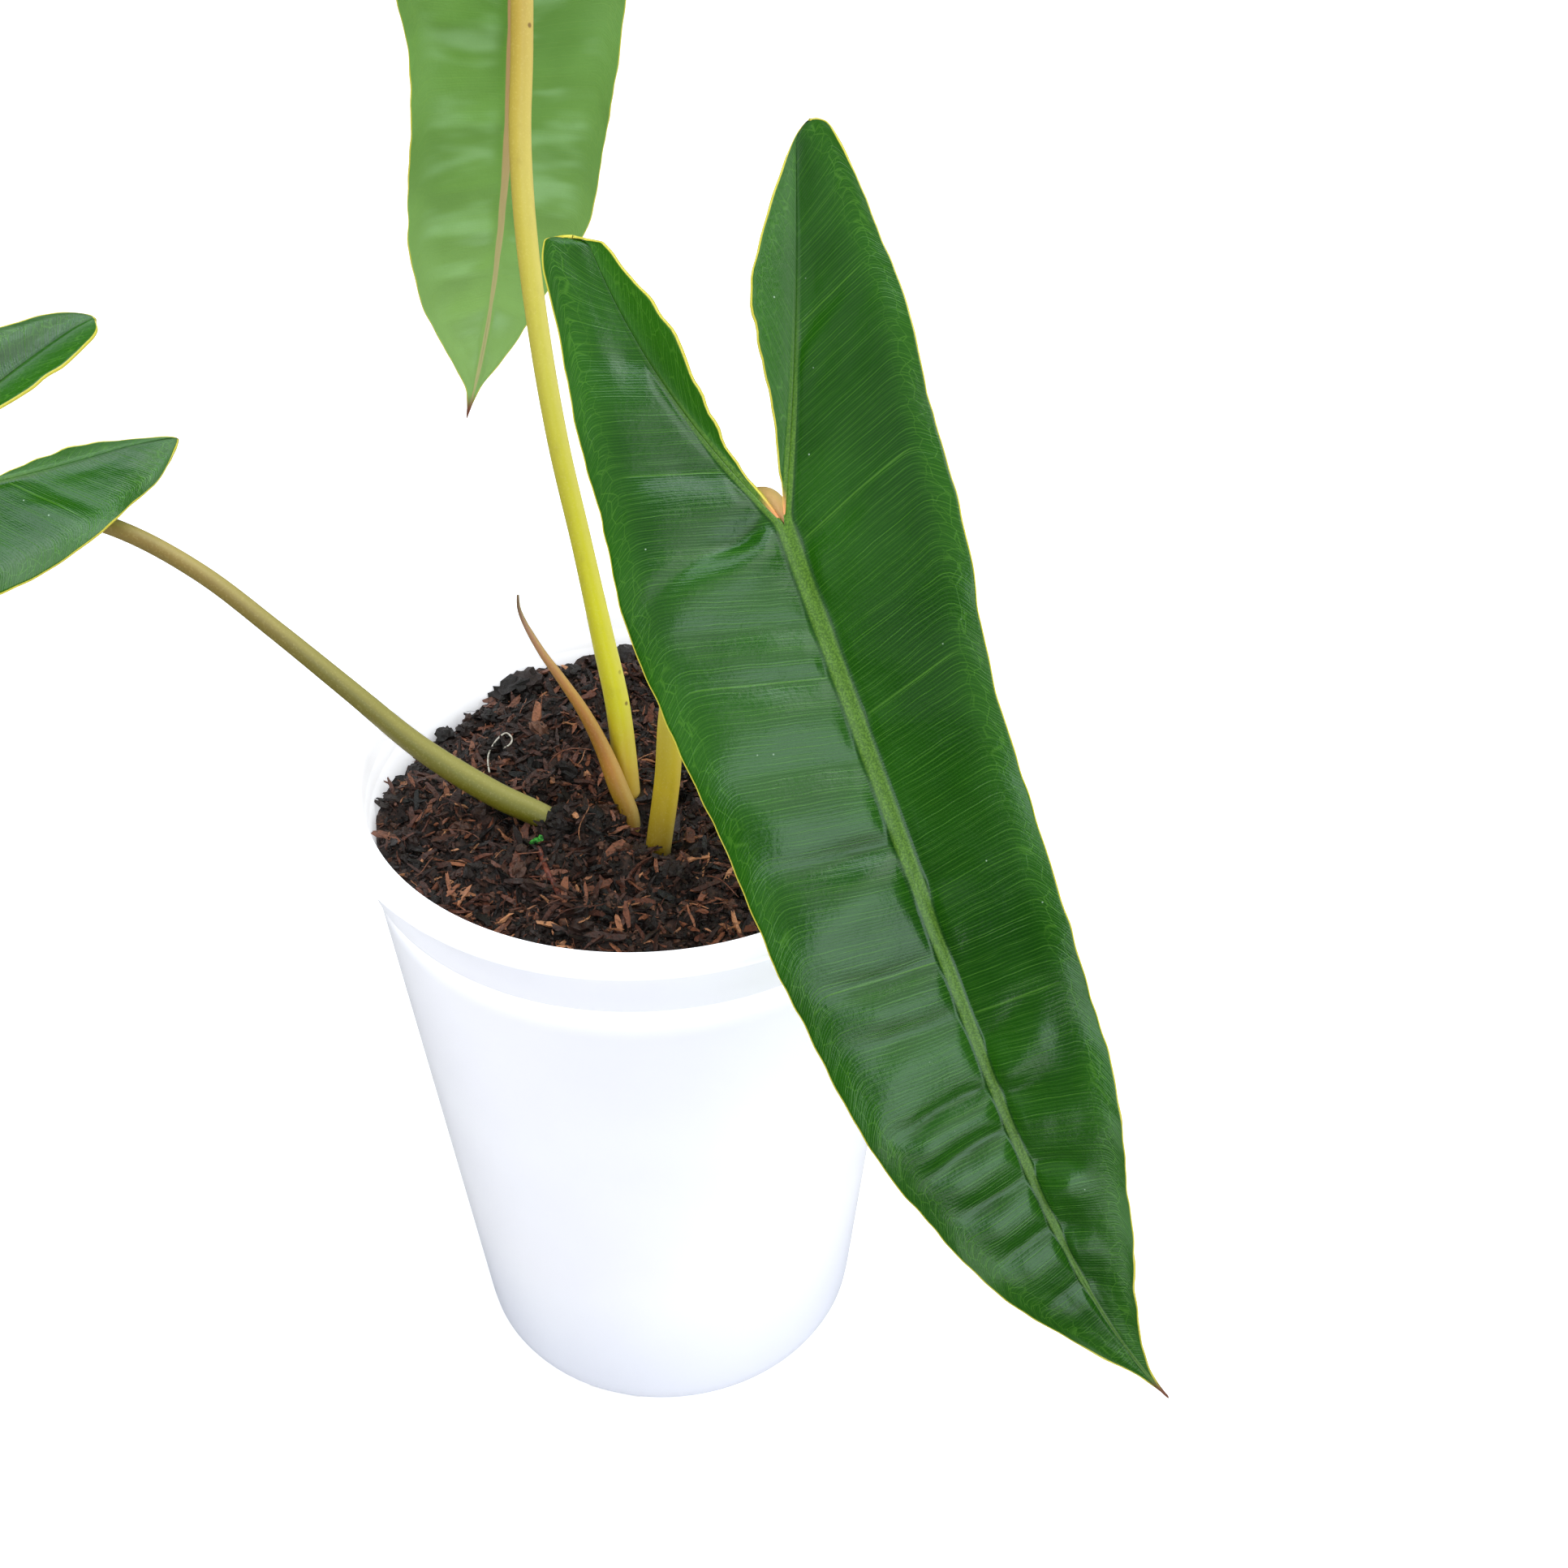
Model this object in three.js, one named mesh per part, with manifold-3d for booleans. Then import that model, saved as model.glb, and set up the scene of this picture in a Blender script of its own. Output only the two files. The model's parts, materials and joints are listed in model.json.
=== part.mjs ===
// Potted Philodendron billietiae, in millimetres, +Z up.
// The origin is the centre of the pot's flat base, on the surface that the pot stands on.
// +Y is the side that the top leaf leans to, and +X is the side that the front leaf hangs to.
import * as THREE from 'three';
import { mergeVertices } from 'three/addons/utils/BufferGeometryUtils.js';
import Module from 'manifold-3d';

const wasm = await Module();
wasm.setup();

// Driving dimensions: the clearances
const REST_GAP = 0.35;

// Driving dimensions: the pot
const POT_HEIGHT = 184;
const POT_SEGMENTS = 64;
const POT = {
  baseRadius: 53,
  footRound: 1.6,
  floor: 2.4,
  floorRound: 2,
  wall: 1.5,
  collarRadius: 68.4,
  collarHeight: 18,
  collarStep: 1.5,
  collarLean: 1,
  flangeThickness: 2.4,
  rimRadius: 75.5,
  rimRound: 0.9,
  lipRadius: 68,
  lipDepth: 3,
};
const DRAIN = { count: 4, width: 14.6, height: 6.5, depth: 9, angleFromFront: -15 };

// Driving dimensions: the soil
const SOIL = { level: 170.5, segments: 48, rings: 9, lump: 1.5, edgeRise: 1 };
const SOIL_DIP = { angle: 148, spread: 26, depth: 6.5 };
const CHIPS = { count: 30, seed: 11, reach: 57, length: 8, width: 2.6, height: 2 };

// Driving dimensions: the blades. Widths run from the lobe's end to the blade's tip, at these
// shares of the lobe's length and then of the blade's length. Plus is the blade's own +X half.
// The slant is how far the outer corner of a lobe's end reaches beyond the end of its rib.
const LOBE_SHARES = [-1, -0.75, -0.45, -0.15];
const BLADE_SHARES = [0.06, 0.22, 0.42, 0.6, 0.77, 0.86, 0.93, 0.965, 1];
const BLADE = {
  thickness: 0.7,
  fold: 17,
  innerFold: 35,
  crown: 0.001,
  midribRise: 1.3,
  midribWidth: 0.07,
  softRadius: 3,
  lobeCurl: -5 / 80,
  slantFrom: 0.7,
  waveHeight: 0.9,
  waveLength: 41,
};
const FRONT_LEAF = {
  sinus: [34.3, -28.9, 267.3],
  tipward: [0.339, -0.677, -0.653],
  facing: [-0.182, -0.728, 0.661],
  length: 210,
  droop: 30,
  bow: 6.4,
  hook: -13.4,
  wave: 0.3,
  plus: {
    lobe: 73,
    round: 0.03,
    slant: 5,
    widths: [26, 29.5, 32.5, 34, 36, 33.5, 31, 27.1, 18.2, 11.1, 4.3, 1.3, 0],
    rib: [35, -17],
    inner: [15.5, 7.3, 5.8],
  },
  minus: {
    lobe: 77.5,
    round: 0.05,
    slant: 0,
    widths: [38, 39, 39.5, 36.5, 34.5, 28.5, 26.5, 24, 15.2, 8.1, 2.7, 0.8, 0],
    rib: [36, -4.5],
    inner: [31.4, 10.4, 5.8],
  },
};
const TOP_LEAF = {
  sinus: [-26.7, 135, 444.2],
  tipward: [-0.036, 0.046, -0.998],
  facing: [-0.152, 0.987, 0.051],
  length: 234,
  droop: 9,
  bow: -15.8,
  hook: -8,
  wave: 1.4,
  plus: {
    lobe: 80,
    round: 0.14,
    slant: 0,
    widths: [25, 28, 31, 33, 34, 34, 31.5, 28, 24.2, 14.3, 6, 1.4, 0],
    rib: [34, -12],
    inner: [18, 9, 6],
  },
  minus: {
    lobe: 78,
    round: 0.14,
    slant: 0,
    widths: [25, 27.5, 30.5, 32.5, 33.5, 34, 33.5, 25.7, 24.8, 18.7, 7.8, 2.2, 0],
    rib: [34, -12],
    inner: [18, 9, 6],
  },
};
const LEFT_LEAF = {
  sinus: [-165.2, -9, 259.7],
  tipward: [-0.671, -0.739, -0.07],
  facing: [0.339, -0.389, 0.857],
  length: 205,
  droop: 44,
  bow: 3,
  hook: -6,
  wave: 2.2,
  plus: {
    lobe: 70.5,
    round: 0.2,
    slant: 0,
    widths: [23.2, 24.6, 29.4, 31.8, 32.6, 31.4, 30, 26.6, 18.6, 11.7, 4.8, 1.7, 0],
    rib: [29, -11],
    inner: [10.5, 6.8, 4.5],
  },
  minus: {
    lobe: 66.5,
    round: 0.2,
    slant: 0,
    widths: [22.6, 28.6, 34, 35, 34, 32, 30, 26.6, 18.6, 11.7, 4.8, 1.7, 0],
    rib: [22.5, -5],
    inner: [16.6, 8.2, 6],
  },
};

// Driving dimensions: the stalks. Each runs from the rootstock to just under its blade's sinus.
const STALK_SIDES = 9;
const STALK_STEP = 8;
const FRONT_STALK = {
  path: [
    [1.5, -21, 147], [3.6, -18.3, 169], [6.5, -13.9, 189], [8.2, -11.4, 208.6],
    [12.5, -8.6, 228], [19.5, -7.6, 247], [26, -10.8, 261], [30.8, -17.5, 266.6],
  ],
  radii: [3.1, 3.1, 2.9, 2.75, 2.6],
};
const TOP_STALK = {
  path: [
    [-3.2, -1.5, 147], [-4.3, 1, 169.8], [-6.4, 8.2, 194.5], [-9.4, 13.6, 209.8], [-13.9, 21.9, 232],
    [-18.6, 30.4, 253.4], [-22, 38.9, 274.1], [-24.7, 49.1, 297.9], [-25.4, 57.5, 317], [-24.4, 65, 334],
    [-23.6, 78, 364], [-24.2, 95, 404], [-25.4, 108, 437], [-26, 116.5, 453], [-26.3, 123.5, 459.5],
    [-26.5, 129, 456.5], [-26.6, 131.4, 449.5],
  ],
  radii: [3.1, 3, 2.5, 2.5, 2.55, 2.5, 2.45, 2.45, 2.4],
};
const LEFT_STALK = {
  path: [
    [-9, -8, 146], [-13, -8.6, 156], [-18, -8.4, 166], [-23.5, -8.1, 172], [-36.1, -5.8, 178.1],
    [-53, -2.8, 189.6], [-69, 0.1, 205], [-84.6, 2.9, 220], [-99.8, 5.6, 233.6], [-115.6, 8.5, 242.8],
    [-130, 10, 247.6], [-144, 8.6, 251.4], [-155, 3, 254], [-162.4, -3.8, 255.8],
  ],
  radii: [2.9, 3.15, 2.5, 2.15, 2.05, 2],
};
const SHOOT = {
  path: [
    [-5, -10.5, 147], [-4.3, -8.2, 160], [-3.7, -5.4, 170.2], [-6.5, -2.7, 178.2], [-9.9, 1.3, 186.4],
    [-14.2, 4.6, 194.9], [-19.9, 7.6, 203.6], [-24, 9.6, 209.5], [-28, 12.5, 216.4], [-29.1, 13.9, 219.4],
    [-29.2, 15.2, 222],
  ],
  radii: [1.9, 2.1, 2.4, 2.4, 1.95, 1.5, 1.15, 0.8, 0.3],
};

// Driving dimensions: the rootstock
const ROOTSTOCK = { radius: 8, front: [4, -24, 143], back: [-9, 3, 143] };
const ROOTS = { count: 6, reach: 36, drop: 66, radii: [1.9, 1.5, 1.2, 0.9], sides: 6, steps: 6 };

const radians = THREE.MathUtils.degToRad;
const vector = (xyz) => new THREE.Vector3(...xyz);

function finish(color, roughness) {
  return new THREE.MeshStandardMaterial({ color, roughness, metalness: 0 });
}

// A closed geometry as a solid for joining and cutting, faces out
function toSolid(geometry) {
  const bare = geometry.clone();
  bare.deleteAttribute('normal');
  bare.deleteAttribute('uv');
  const merged = mergeVertices(bare, 1e-4);
  const index = merged.index.array;
  const faces = [];
  for (let i = 0; i < index.length; i += 3) {
    const [a, b, c] = [index[i], index[i + 1], index[i + 2]];
    if (a !== b && b !== c && c !== a) faces.push(a, b, c);
  }
  return new wasm.Manifold(new wasm.Mesh({
    numProp: 3,
    vertProperties: new Float32Array(merged.attributes.position.array),
    triVerts: new Uint32Array(faces),
  }));
}

// The largest body of a cut solid, as a geometry
function toGeometry(solid) {
  const bodies = solid.decompose().sort((a, b) => b.volume() - a.volume());
  const mesh = bodies[0].getMesh();
  const geometry = new THREE.BufferGeometry();
  geometry.setAttribute('position', new THREE.BufferAttribute(new Float32Array(mesh.vertProperties), 3));
  geometry.setIndex(new THREE.BufferAttribute(new Uint32Array(mesh.triVerts), 1));
  return geometry;
}

function indexed(points, faces) {
  const geometry = new THREE.BufferGeometry();
  const flat = points.flatMap((p) => [p.x, p.y, p.z]);
  geometry.setAttribute('position', new THREE.Float32BufferAttribute(flat, 3));
  geometry.setIndex(faces);
  geometry.computeVertexNormals();
  return geometry;
}

// Smooth curve through the stations that never swings past them
function smoothThrough(xs, ys) {
  const n = xs.length;
  const slope = xs.slice(1).map((x, i) => (ys[i + 1] - ys[i]) / (x - xs[i]));
  const lean = ys.map((_, i) => {
    if (i === 0) return slope[0];
    if (i === n - 1) return slope[n - 2];
    const [before, after] = [slope[i - 1], slope[i]];
    return before * after > 0 ? (2 * before * after) / (before + after) : 0;
  });
  return (x) => {
    let i = 0;
    while (i < n - 2 && x > xs[i + 1]) i += 1;
    const span = xs[i + 1] - xs[i];
    const t = THREE.MathUtils.clamp((x - xs[i]) / span, 0, 1);
    const [t2, t3] = [t * t, t * t * t];
    return (2 * t3 - 3 * t2 + 1) * ys[i] + (t3 - 2 * t2 + t) * span * lean[i]
      + (3 * t2 - 2 * t3) * ys[i + 1] + (t3 - t2) * span * lean[i + 1];
  };
}

// A seeded draw between 0 and 1
function seededDraw(seed) {
  let state = seed;
  return () => {
    state = (state * 1664525 + 1013904223) % 4294967296;
    return state / 4294967296;
  };
}

// Round stalk of changing thickness along a path, closed at both ends
function taperedStalk(path, radii, sides, step, grow = 0) {
  const curve = new THREE.CatmullRomCurve3(path.map(vector));
  const steps = Math.ceil(curve.getLength() / step);
  const frames = curve.computeFrenetFrames(steps, false);
  const shares = radii.map((_, i) => i / (radii.length - 1));
  const radiusAt = smoothThrough(shares, radii);
  const points = [];
  const faces = [];
  for (let i = 0; i <= steps; i += 1) {
    const centre = curve.getPointAt(i / steps);
    const radius = radiusAt(i / steps) + grow;
    for (let j = 0; j < sides; j += 1) {
      const angle = (2 * Math.PI * j) / sides;
      points.push(centre.clone()
        .addScaledVector(frames.normals[i], radius * Math.cos(angle))
        .addScaledVector(frames.binormals[i], radius * Math.sin(angle)));
    }
  }
  for (let i = 0; i < steps; i += 1) {
    for (let j = 0; j < sides; j += 1) {
      const k = (j + 1) % sides;
      const [a, b, c, d] = [i * sides + j, i * sides + k, (i + 1) * sides + k, (i + 1) * sides + j];
      faces.push(a, b, c, a, c, d);
    }
  }
  const last = steps * sides;
  for (let j = 1; j < sides - 1; j += 1) {
    faces.push(0, j + 1, j);
    faces.push(last, last + j, last + j + 1);
  }
  return indexed(points, faces);
}

// Pot: one thin moulded wall with a rolled rim, a collar band and a floor
function wallRadius(z) {
  const collarFoot = POT_HEIGHT - POT.collarHeight;
  return THREE.MathUtils.lerp(POT.baseRadius, POT.collarRadius, z / collarFoot);
}

function insideRadius(z) {
  return wallRadius(z) - POT.wall;
}

function potGeometry() {
  const collarFoot = POT_HEIGHT - POT.collarHeight;
  const collarOut = POT.collarRadius + POT.collarStep;
  const flangeFoot = POT_HEIGHT - POT.flangeThickness;
  const lipFoot = POT_HEIGHT - POT.lipDepth;
  const floorTop = POT.floor + POT.floorRound;
  const profile = [
    [0, 0],
    [POT.baseRadius - POT.footRound, 0],
    [POT.baseRadius, POT.footRound],
    [POT.collarRadius, collarFoot],
    [collarOut, collarFoot + POT.collarStep],
    [collarOut + POT.collarLean, flangeFoot],
    [POT.rimRadius - POT.rimRound, flangeFoot],
    [POT.rimRadius, flangeFoot + POT.rimRound],
    [POT.rimRadius, POT_HEIGHT - POT.rimRound],
    [POT.rimRadius - POT.rimRound, POT_HEIGHT],
    [POT.lipRadius + POT.rimRound, POT_HEIGHT],
    [POT.lipRadius, POT_HEIGHT - POT.rimRound],
    [insideRadius(lipFoot), lipFoot],
    [insideRadius(floorTop), floorTop],
    [insideRadius(POT.floor) - POT.floorRound, POT.floor],
    [0, POT.floor],
  ];
  const shell = new THREE.LatheGeometry(profile.map(([r, z]) => new THREE.Vector2(r, z)), POT_SEGMENTS);
  shell.rotateX(Math.PI / 2);
  let pot = toSolid(shell);
  for (let i = 0; i < DRAIN.count; i += 1) {
    pot = pot.subtract(drainNotch(radians(DRAIN.angleFromFront + (360 / DRAIN.count) * i)));
  }
  return toGeometry(pot);
}

// Arched notch where the wall meets the floor
function drainNotch(angle) {
  const half = DRAIN.width / 2;
  const shoulder = DRAIN.height * 0.35;
  const arch = new THREE.Shape();
  arch.moveTo(-half, -1);
  arch.lineTo(half, -1);
  arch.lineTo(half, shoulder);
  arch.quadraticCurveTo(half * 0.8, DRAIN.height, 0, DRAIN.height);
  arch.quadraticCurveTo(-half * 0.8, DRAIN.height, -half, shoulder);
  arch.closePath();
  const settings = { depth: DRAIN.depth, bevelEnabled: false, curveSegments: 5 };
  const cutter = new THREE.ExtrudeGeometry(arch, settings);
  cutter.rotateX(Math.PI / 2);
  cutter.translate(0, -(POT.baseRadius - DRAIN.depth / 2 - 1), 0);
  cutter.rotateZ(angle);
  return toSolid(cutter);
}

// Soil: fills the pot, with a lumpy top
function soilHeight(x, y) {
  const lumps = Math.sin(0.19 * x + 1.3) * Math.sin(0.23 * y + 0.4)
    + 0.7 * Math.sin(0.41 * x - 0.3 * y + 2.1)
    + 0.5 * Math.sin(0.37 * y + 0.52 * x);
  const edge = Math.hypot(x, y) / POT.collarRadius;
  const turn = THREE.MathUtils.radToDeg(Math.atan2(y, x)) - SOIL_DIP.angle;
  const away = THREE.MathUtils.euclideanModulo(turn + 180, 360) - 180;
  const reach = THREE.MathUtils.smoothstep(edge, 0.55, 1);
  const dip = SOIL_DIP.depth * Math.exp(-((away / SOIL_DIP.spread) ** 2)) * reach;
  return SOIL.level + SOIL.lump * lumps * (1 - 0.4 * edge) + SOIL.edgeRise * edge ** 4 - dip;
}

function soilMound() {
  const points = [];
  const faces = [];
  const ring = (radiusAndHeight) => {
    const start = points.length;
    for (let j = 0; j < SOIL.segments; j += 1) {
      const angle = (2 * Math.PI * j) / SOIL.segments;
      const [radius, z] = radiusAndHeight(angle);
      points.push(new THREE.Vector3(radius * Math.cos(angle), radius * Math.sin(angle), z));
    }
    return start;
  };
  const bottom = POT.floor + REST_GAP;
  const shoulder = bottom + POT.floorRound;
  const edgeRadius = insideRadius(SOIL.level - SOIL_DIP.depth - SOIL.lump) - REST_GAP;
  const starts = [
    ring(() => [insideRadius(bottom) - POT.floorRound - REST_GAP, bottom]),
    ring(() => [insideRadius(shoulder) - REST_GAP, shoulder]),
  ];
  for (let i = 0; i < SOIL.rings; i += 1) {
    const radius = edgeRadius * (1 - i / SOIL.rings);
    starts.push(ring((angle) => [radius, soilHeight(radius * Math.cos(angle), radius * Math.sin(angle))]));
  }
  for (let i = 0; i < starts.length - 1; i += 1) {
    for (let j = 0; j < SOIL.segments; j += 1) {
      const k = (j + 1) % SOIL.segments;
      const [a, b] = [starts[i] + j, starts[i] + k];
      const [c, d] = [starts[i + 1] + k, starts[i + 1] + j];
      faces.push(a, b, c, a, c, d);
    }
  }
  const under = points.push(new THREE.Vector3(0, 0, bottom)) - 1;
  const over = points.push(new THREE.Vector3(0, 0, soilHeight(0, 0))) - 1;
  const top = starts[starts.length - 1];
  for (let j = 0; j < SOIL.segments; j += 1) {
    const k = (j + 1) % SOIL.segments;
    faces.push(under, k, j);
    faces.push(over, top + j, top + k);
  }
  return indexed(points, faces);
}

// Bark chips, half sunk into the top of the soil
function soilChip(draw) {
  const angle = 2 * Math.PI * draw();
  const radius = CHIPS.reach * Math.sqrt(draw());
  const length = CHIPS.length * (0.7 + 0.5 * draw());
  const chip = new THREE.BoxGeometry(length, CHIPS.width * (0.7 + 0.6 * draw()), CHIPS.height);
  chip.rotateX(radians(50 * (draw() - 0.5)));
  chip.rotateY(radians(24 * (draw() - 0.5)));
  chip.rotateZ(Math.PI * draw());
  const [x, y] = [radius * Math.cos(angle), radius * Math.sin(angle)];
  chip.translate(x, y, soilHeight(x, y) + 0.1);
  return toSolid(chip);
}

function soilGeometry(cutters) {
  const draw = seededDraw(CHIPS.seed);
  let soil = toSolid(soilMound());
  for (let i = 0; i < CHIPS.count; i += 1) soil = soil.add(soilChip(draw));
  for (const cutter of cutters) soil = soil.subtract(cutter);
  return toGeometry(soil);
}

// Rootstock: the short stem and the main roots that leave it
function rootstockSolid(grow) {
  const [front, back] = [vector(ROOTSTOCK.front), vector(ROOTSTOCK.back)];
  const along = back.clone().sub(front);
  const stem = new THREE.CapsuleGeometry(ROOTSTOCK.radius + grow, along.length(), 4, 16);
  stem.applyQuaternion(new THREE.Quaternion().setFromUnitVectors(
    new THREE.Vector3(0, 1, 0),
    along.clone().normalize(),
  ));
  const middle = front.clone().lerp(back, 0.5);
  stem.translate(middle.x, middle.y, middle.z);
  let solid = toSolid(stem);
  for (let i = 0; i < ROOTS.count; i += 1) {
    const start = front.clone().lerp(back, (i + 0.5) / ROOTS.count);
    const angle = radians(40 + 137.5 * i);
    const out = new THREE.Vector3(Math.cos(angle), Math.sin(angle), 0);
    const path = [
      start.clone(),
      start.clone().addScaledVector(out, 0.45 * ROOTS.reach).add(new THREE.Vector3(0, 0, -0.12 * ROOTS.drop)),
      start.clone().addScaledVector(out, 0.8 * ROOTS.reach).add(new THREE.Vector3(0, 0, -0.5 * ROOTS.drop)),
      start.clone().addScaledVector(out, ROOTS.reach).add(new THREE.Vector3(0, 0, -ROOTS.drop)),
    ].map((p) => p.toArray());
    const root = taperedStalk(path, ROOTS.radii, ROOTS.sides, 75 / ROOTS.steps, grow);
    solid = solid.add(toSolid(root));
  }
  return solid;
}

// Blade: an arrowhead with two back lobes. Its own frame has its origin at the sinus,
// +Y along the midrib to the tip and +Z out of the upper face.
function bladeBasis(leaf) {
  const tipward = vector(leaf.tipward).normalize();
  const across = tipward.clone().cross(vector(leaf.facing)).normalize();
  const facing = across.clone().cross(tipward);
  return new THREE.Matrix4().makeBasis(across, tipward, facing).setPosition(vector(leaf.sinus));
}

function bladeSide(leaf, side) {
  const stations = [
    ...LOBE_SHARES.map((share) => share * side.lobe),
    ...BLADE_SHARES.map((share) => share * leaf.length),
  ];
  const widthAt = smoothThrough(stations, side.widths);
  const innerStations = [-side.lobe, -0.6 * side.lobe, -0.3 * side.lobe, 0];
  const innerAt = smoothThrough(innerStations, [...side.inner, 0]);
  const lobeEnd = (side.widths[0] + side.inner[0]) / 2;
  const rounded = (y, x) => {
    const t = THREE.MathUtils.clamp((y + side.lobe) / (side.round * side.lobe), 0, 1);
    return lobeEnd + (x - lobeEnd) * Math.sqrt(1 - (1 - t) ** 2);
  };
  const ribAt = (y) => (y < 0 ? side.rib[0] * (-y / side.lobe) + side.rib[1] * (y / side.lobe) ** 2 : 0);
  const ribEnd = side.rib[0] + side.rib[1];
  const slanted = (y, x) => {
    const outward = Math.max(0, (x - ribEnd) / (side.widths[0] - ribEnd));
    return y - side.slant * outward * THREE.MathUtils.smoothstep(-y / side.lobe, BLADE.slantFrom, 1);
  };
  return {
    outer: (y) => rounded(y, widthAt(y)),
    inner: (y) => rounded(y, innerAt(y)),
    rib: (y) => rounded(y, ribAt(y)),
    slanted,
  };
}

// Point of the blade's middle surface at y along the midrib and x to one side
function bladePoint(leaf, sign, y, x, height) {
  const droop = y < 0 ? radians(BLADE.lobeCurl) : radians(leaf.droop) / leaf.length;
  const share = Math.max(y, 0) / leaf.length;
  const sway = leaf.bow * share ** 2 + leaf.hook * share ** 6;
  const turn = droop * y;
  return new THREE.Vector3(
    sign * x + sway,
    Math.sin(turn) / droop + height * Math.sin(turn),
    -(1 - Math.cos(turn)) / droop + height * Math.cos(turn),
  );
}

const softRise = (d) => Math.sqrt(d * d + BLADE.softRadius ** 2) - BLADE.softRadius;

function bladeGeometry(leaf, grow = 0) {
  const lobeRows = 10;
  const bladeRows = 25;
  const outerColumns = [0, BLADE.midribWidth, 0.28, 0.52, 0.77, 1];
  const innerColumns = [0, 0.5, 1];
  const points = [];
  const midrib = [];
  const add = (point, ribShare) => {
    midrib.push(ribShare);
    return points.push(point) - 1;
  };
  const rimWave = (sign, y, share) => BLADE.waveHeight * share ** 2
    * Math.sin((2 * Math.PI * y) / BLADE.waveLength + leaf.wave + sign);
  const outerPoint = (side, sign, y, share) => {
    const x = THREE.MathUtils.lerp(side.rib(y), side.outer(y), share);
    const d = x - side.rib(y);
    const fade = Math.min(1, Math.abs(side.outer(y) - side.rib(y)) / 12);
    const rise = Math.tan(radians(BLADE.fold)) * softRise(d) - BLADE.crown * d * d;
    return bladePoint(leaf, sign, side.slanted(y, x), x, rise + rimWave(sign, y, share) * fade);
  };
  const innerPoint = (side, sign, y, share) => {
    const x = THREE.MathUtils.lerp(side.rib(y), side.inner(y), share);
    const rise = Math.tan(radians(BLADE.innerFold)) * softRise(x - side.rib(y));
    return bladePoint(leaf, sign, side.slanted(y, x), x, rise);
  };

  // The spine of the blade: the midrib from the sinus to the tip
  const rowShares = Array.from({ length: bladeRows + 1 }, (_, i) => i / bladeRows);
  const frontY = rowShares.map((share) => leaf.length * (1 - (1 - share) ** 1.5));
  const spine = frontY.map((y, i) => add(bladePoint(leaf, 1, y, 0, 0), 1 - 0.85 * rowShares[i]));
  const tip = spine[bladeRows];
  const faces = [];
  const quad = (a, b, c, d, flip) => {
    const triangles = [[a, b, c], [a, c, d]];
    for (const [p, q, r] of triangles) {
      if (p === q || q === r || r === p) continue;
      if (flip) faces.push(p, r, q);
      else faces.push(p, q, r);
    }
  };
  const knit = (rows, flip) => {
    for (let i = 0; i < rows.length - 1; i += 1) {
      for (let j = 0; j < rows[i].length - 1; j += 1) {
        quad(rows[i][j], rows[i][j + 1], rows[i + 1][j + 1], rows[i + 1][j], flip);
      }
    }
  };
  for (const [side, sign] of [[bladeSide(leaf, leaf.plus), 1], [bladeSide(leaf, leaf.minus), -1]]) {
    const lobe = sign > 0 ? leaf.plus.lobe : leaf.minus.lobe;
    const quarter = Math.PI / 2;
    const lobeY = Array.from({ length: lobeRows }, (_, i) => -lobe * Math.cos(quarter * (i / lobeRows)));
    const lobeEnd = add(outerPoint(side, sign, -lobe, 0), 0);
    const rowFrom = (columns, pointAt) => (y, start) => columns.map((share) => (
      share === 0 ? start : add(pointAt(side, sign, y, share), 0)));
    const outerRow = rowFrom(outerColumns, outerPoint);
    const innerRow = rowFrom(innerColumns, innerPoint);
    const outerRows = [outerColumns.map(() => lobeEnd)];
    const innerRows = [innerColumns.map(() => lobeEnd)];
    for (const y of lobeY.slice(1)) {
      const rib = add(outerPoint(side, sign, y, 0), 0.25 + 0.45 * (1 + y / lobe));
      outerRows.push(outerRow(y, rib));
      innerRows.push(innerRow(y, rib));
    }
    innerRows.push(innerColumns.map(() => spine[0]));
    frontY.slice(0, bladeRows).forEach((y, i) => {
      outerRows.push(outerRow(y, spine[i]));
    });
    outerRows.push(outerColumns.map(() => tip));
    knit(outerRows, sign < 0);
    knit(innerRows, sign > 0);
  }
  return thicken(points, faces, midrib, grow);
}

// Both faces of a thin sheet, with the same triangles on each, and the rim between them
function thicken(points, faces, midrib, grow) {
  const sheet = indexed(points, faces);
  const normals = sheet.attributes.normal;
  const count = points.length;
  const half = BLADE.thickness / 2 + grow;
  const moved = (distanceAt) => points.map((p, i) => p.clone()
    .addScaledVector(new THREE.Vector3().fromBufferAttribute(normals, i), distanceAt(i)));
  const upper = moved(() => half);
  const lower = moved((i) => -half - BLADE.midribRise * midrib[i]);
  const solidFaces = [];
  const edges = new Map();
  for (let i = 0; i < faces.length; i += 3) {
    const [a, b, c] = [faces[i], faces[i + 1], faces[i + 2]];
    solidFaces.push(a, b, c, a + count, c + count, b + count);
    for (const [p, q] of [[a, b], [b, c], [c, a]]) edges.set(`${p} ${q}`, [p, q]);
  }
  for (const [p, q] of edges.values()) {
    if (edges.has(`${q} ${p}`)) continue;
    solidFaces.push(p, p + count, q + count, p, q + count, q);
  }
  return indexed([...upper, ...lower], solidFaces);
}

// Assembly
const plant = new THREE.Group();

function place(name, geometry, material) {
  const mesh = new THREE.Mesh(geometry, material);
  mesh.name = name;
  plant.add(mesh);
  return mesh;
}

const LEAVES = [
  { number: 1, leaf: FRONT_LEAF, stalk: FRONT_STALK, stalkColor: 0xa59a2e },
  { number: 2, leaf: TOP_LEAF, stalk: TOP_STALK, stalkColor: 0xcdbb3c },
  { number: 3, leaf: LEFT_LEAF, stalk: LEFT_STALK, stalkColor: 0x8f9238 },
];
const grownStem = rootstockSolid(REST_GAP);
const soilCutters = [grownStem];

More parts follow.
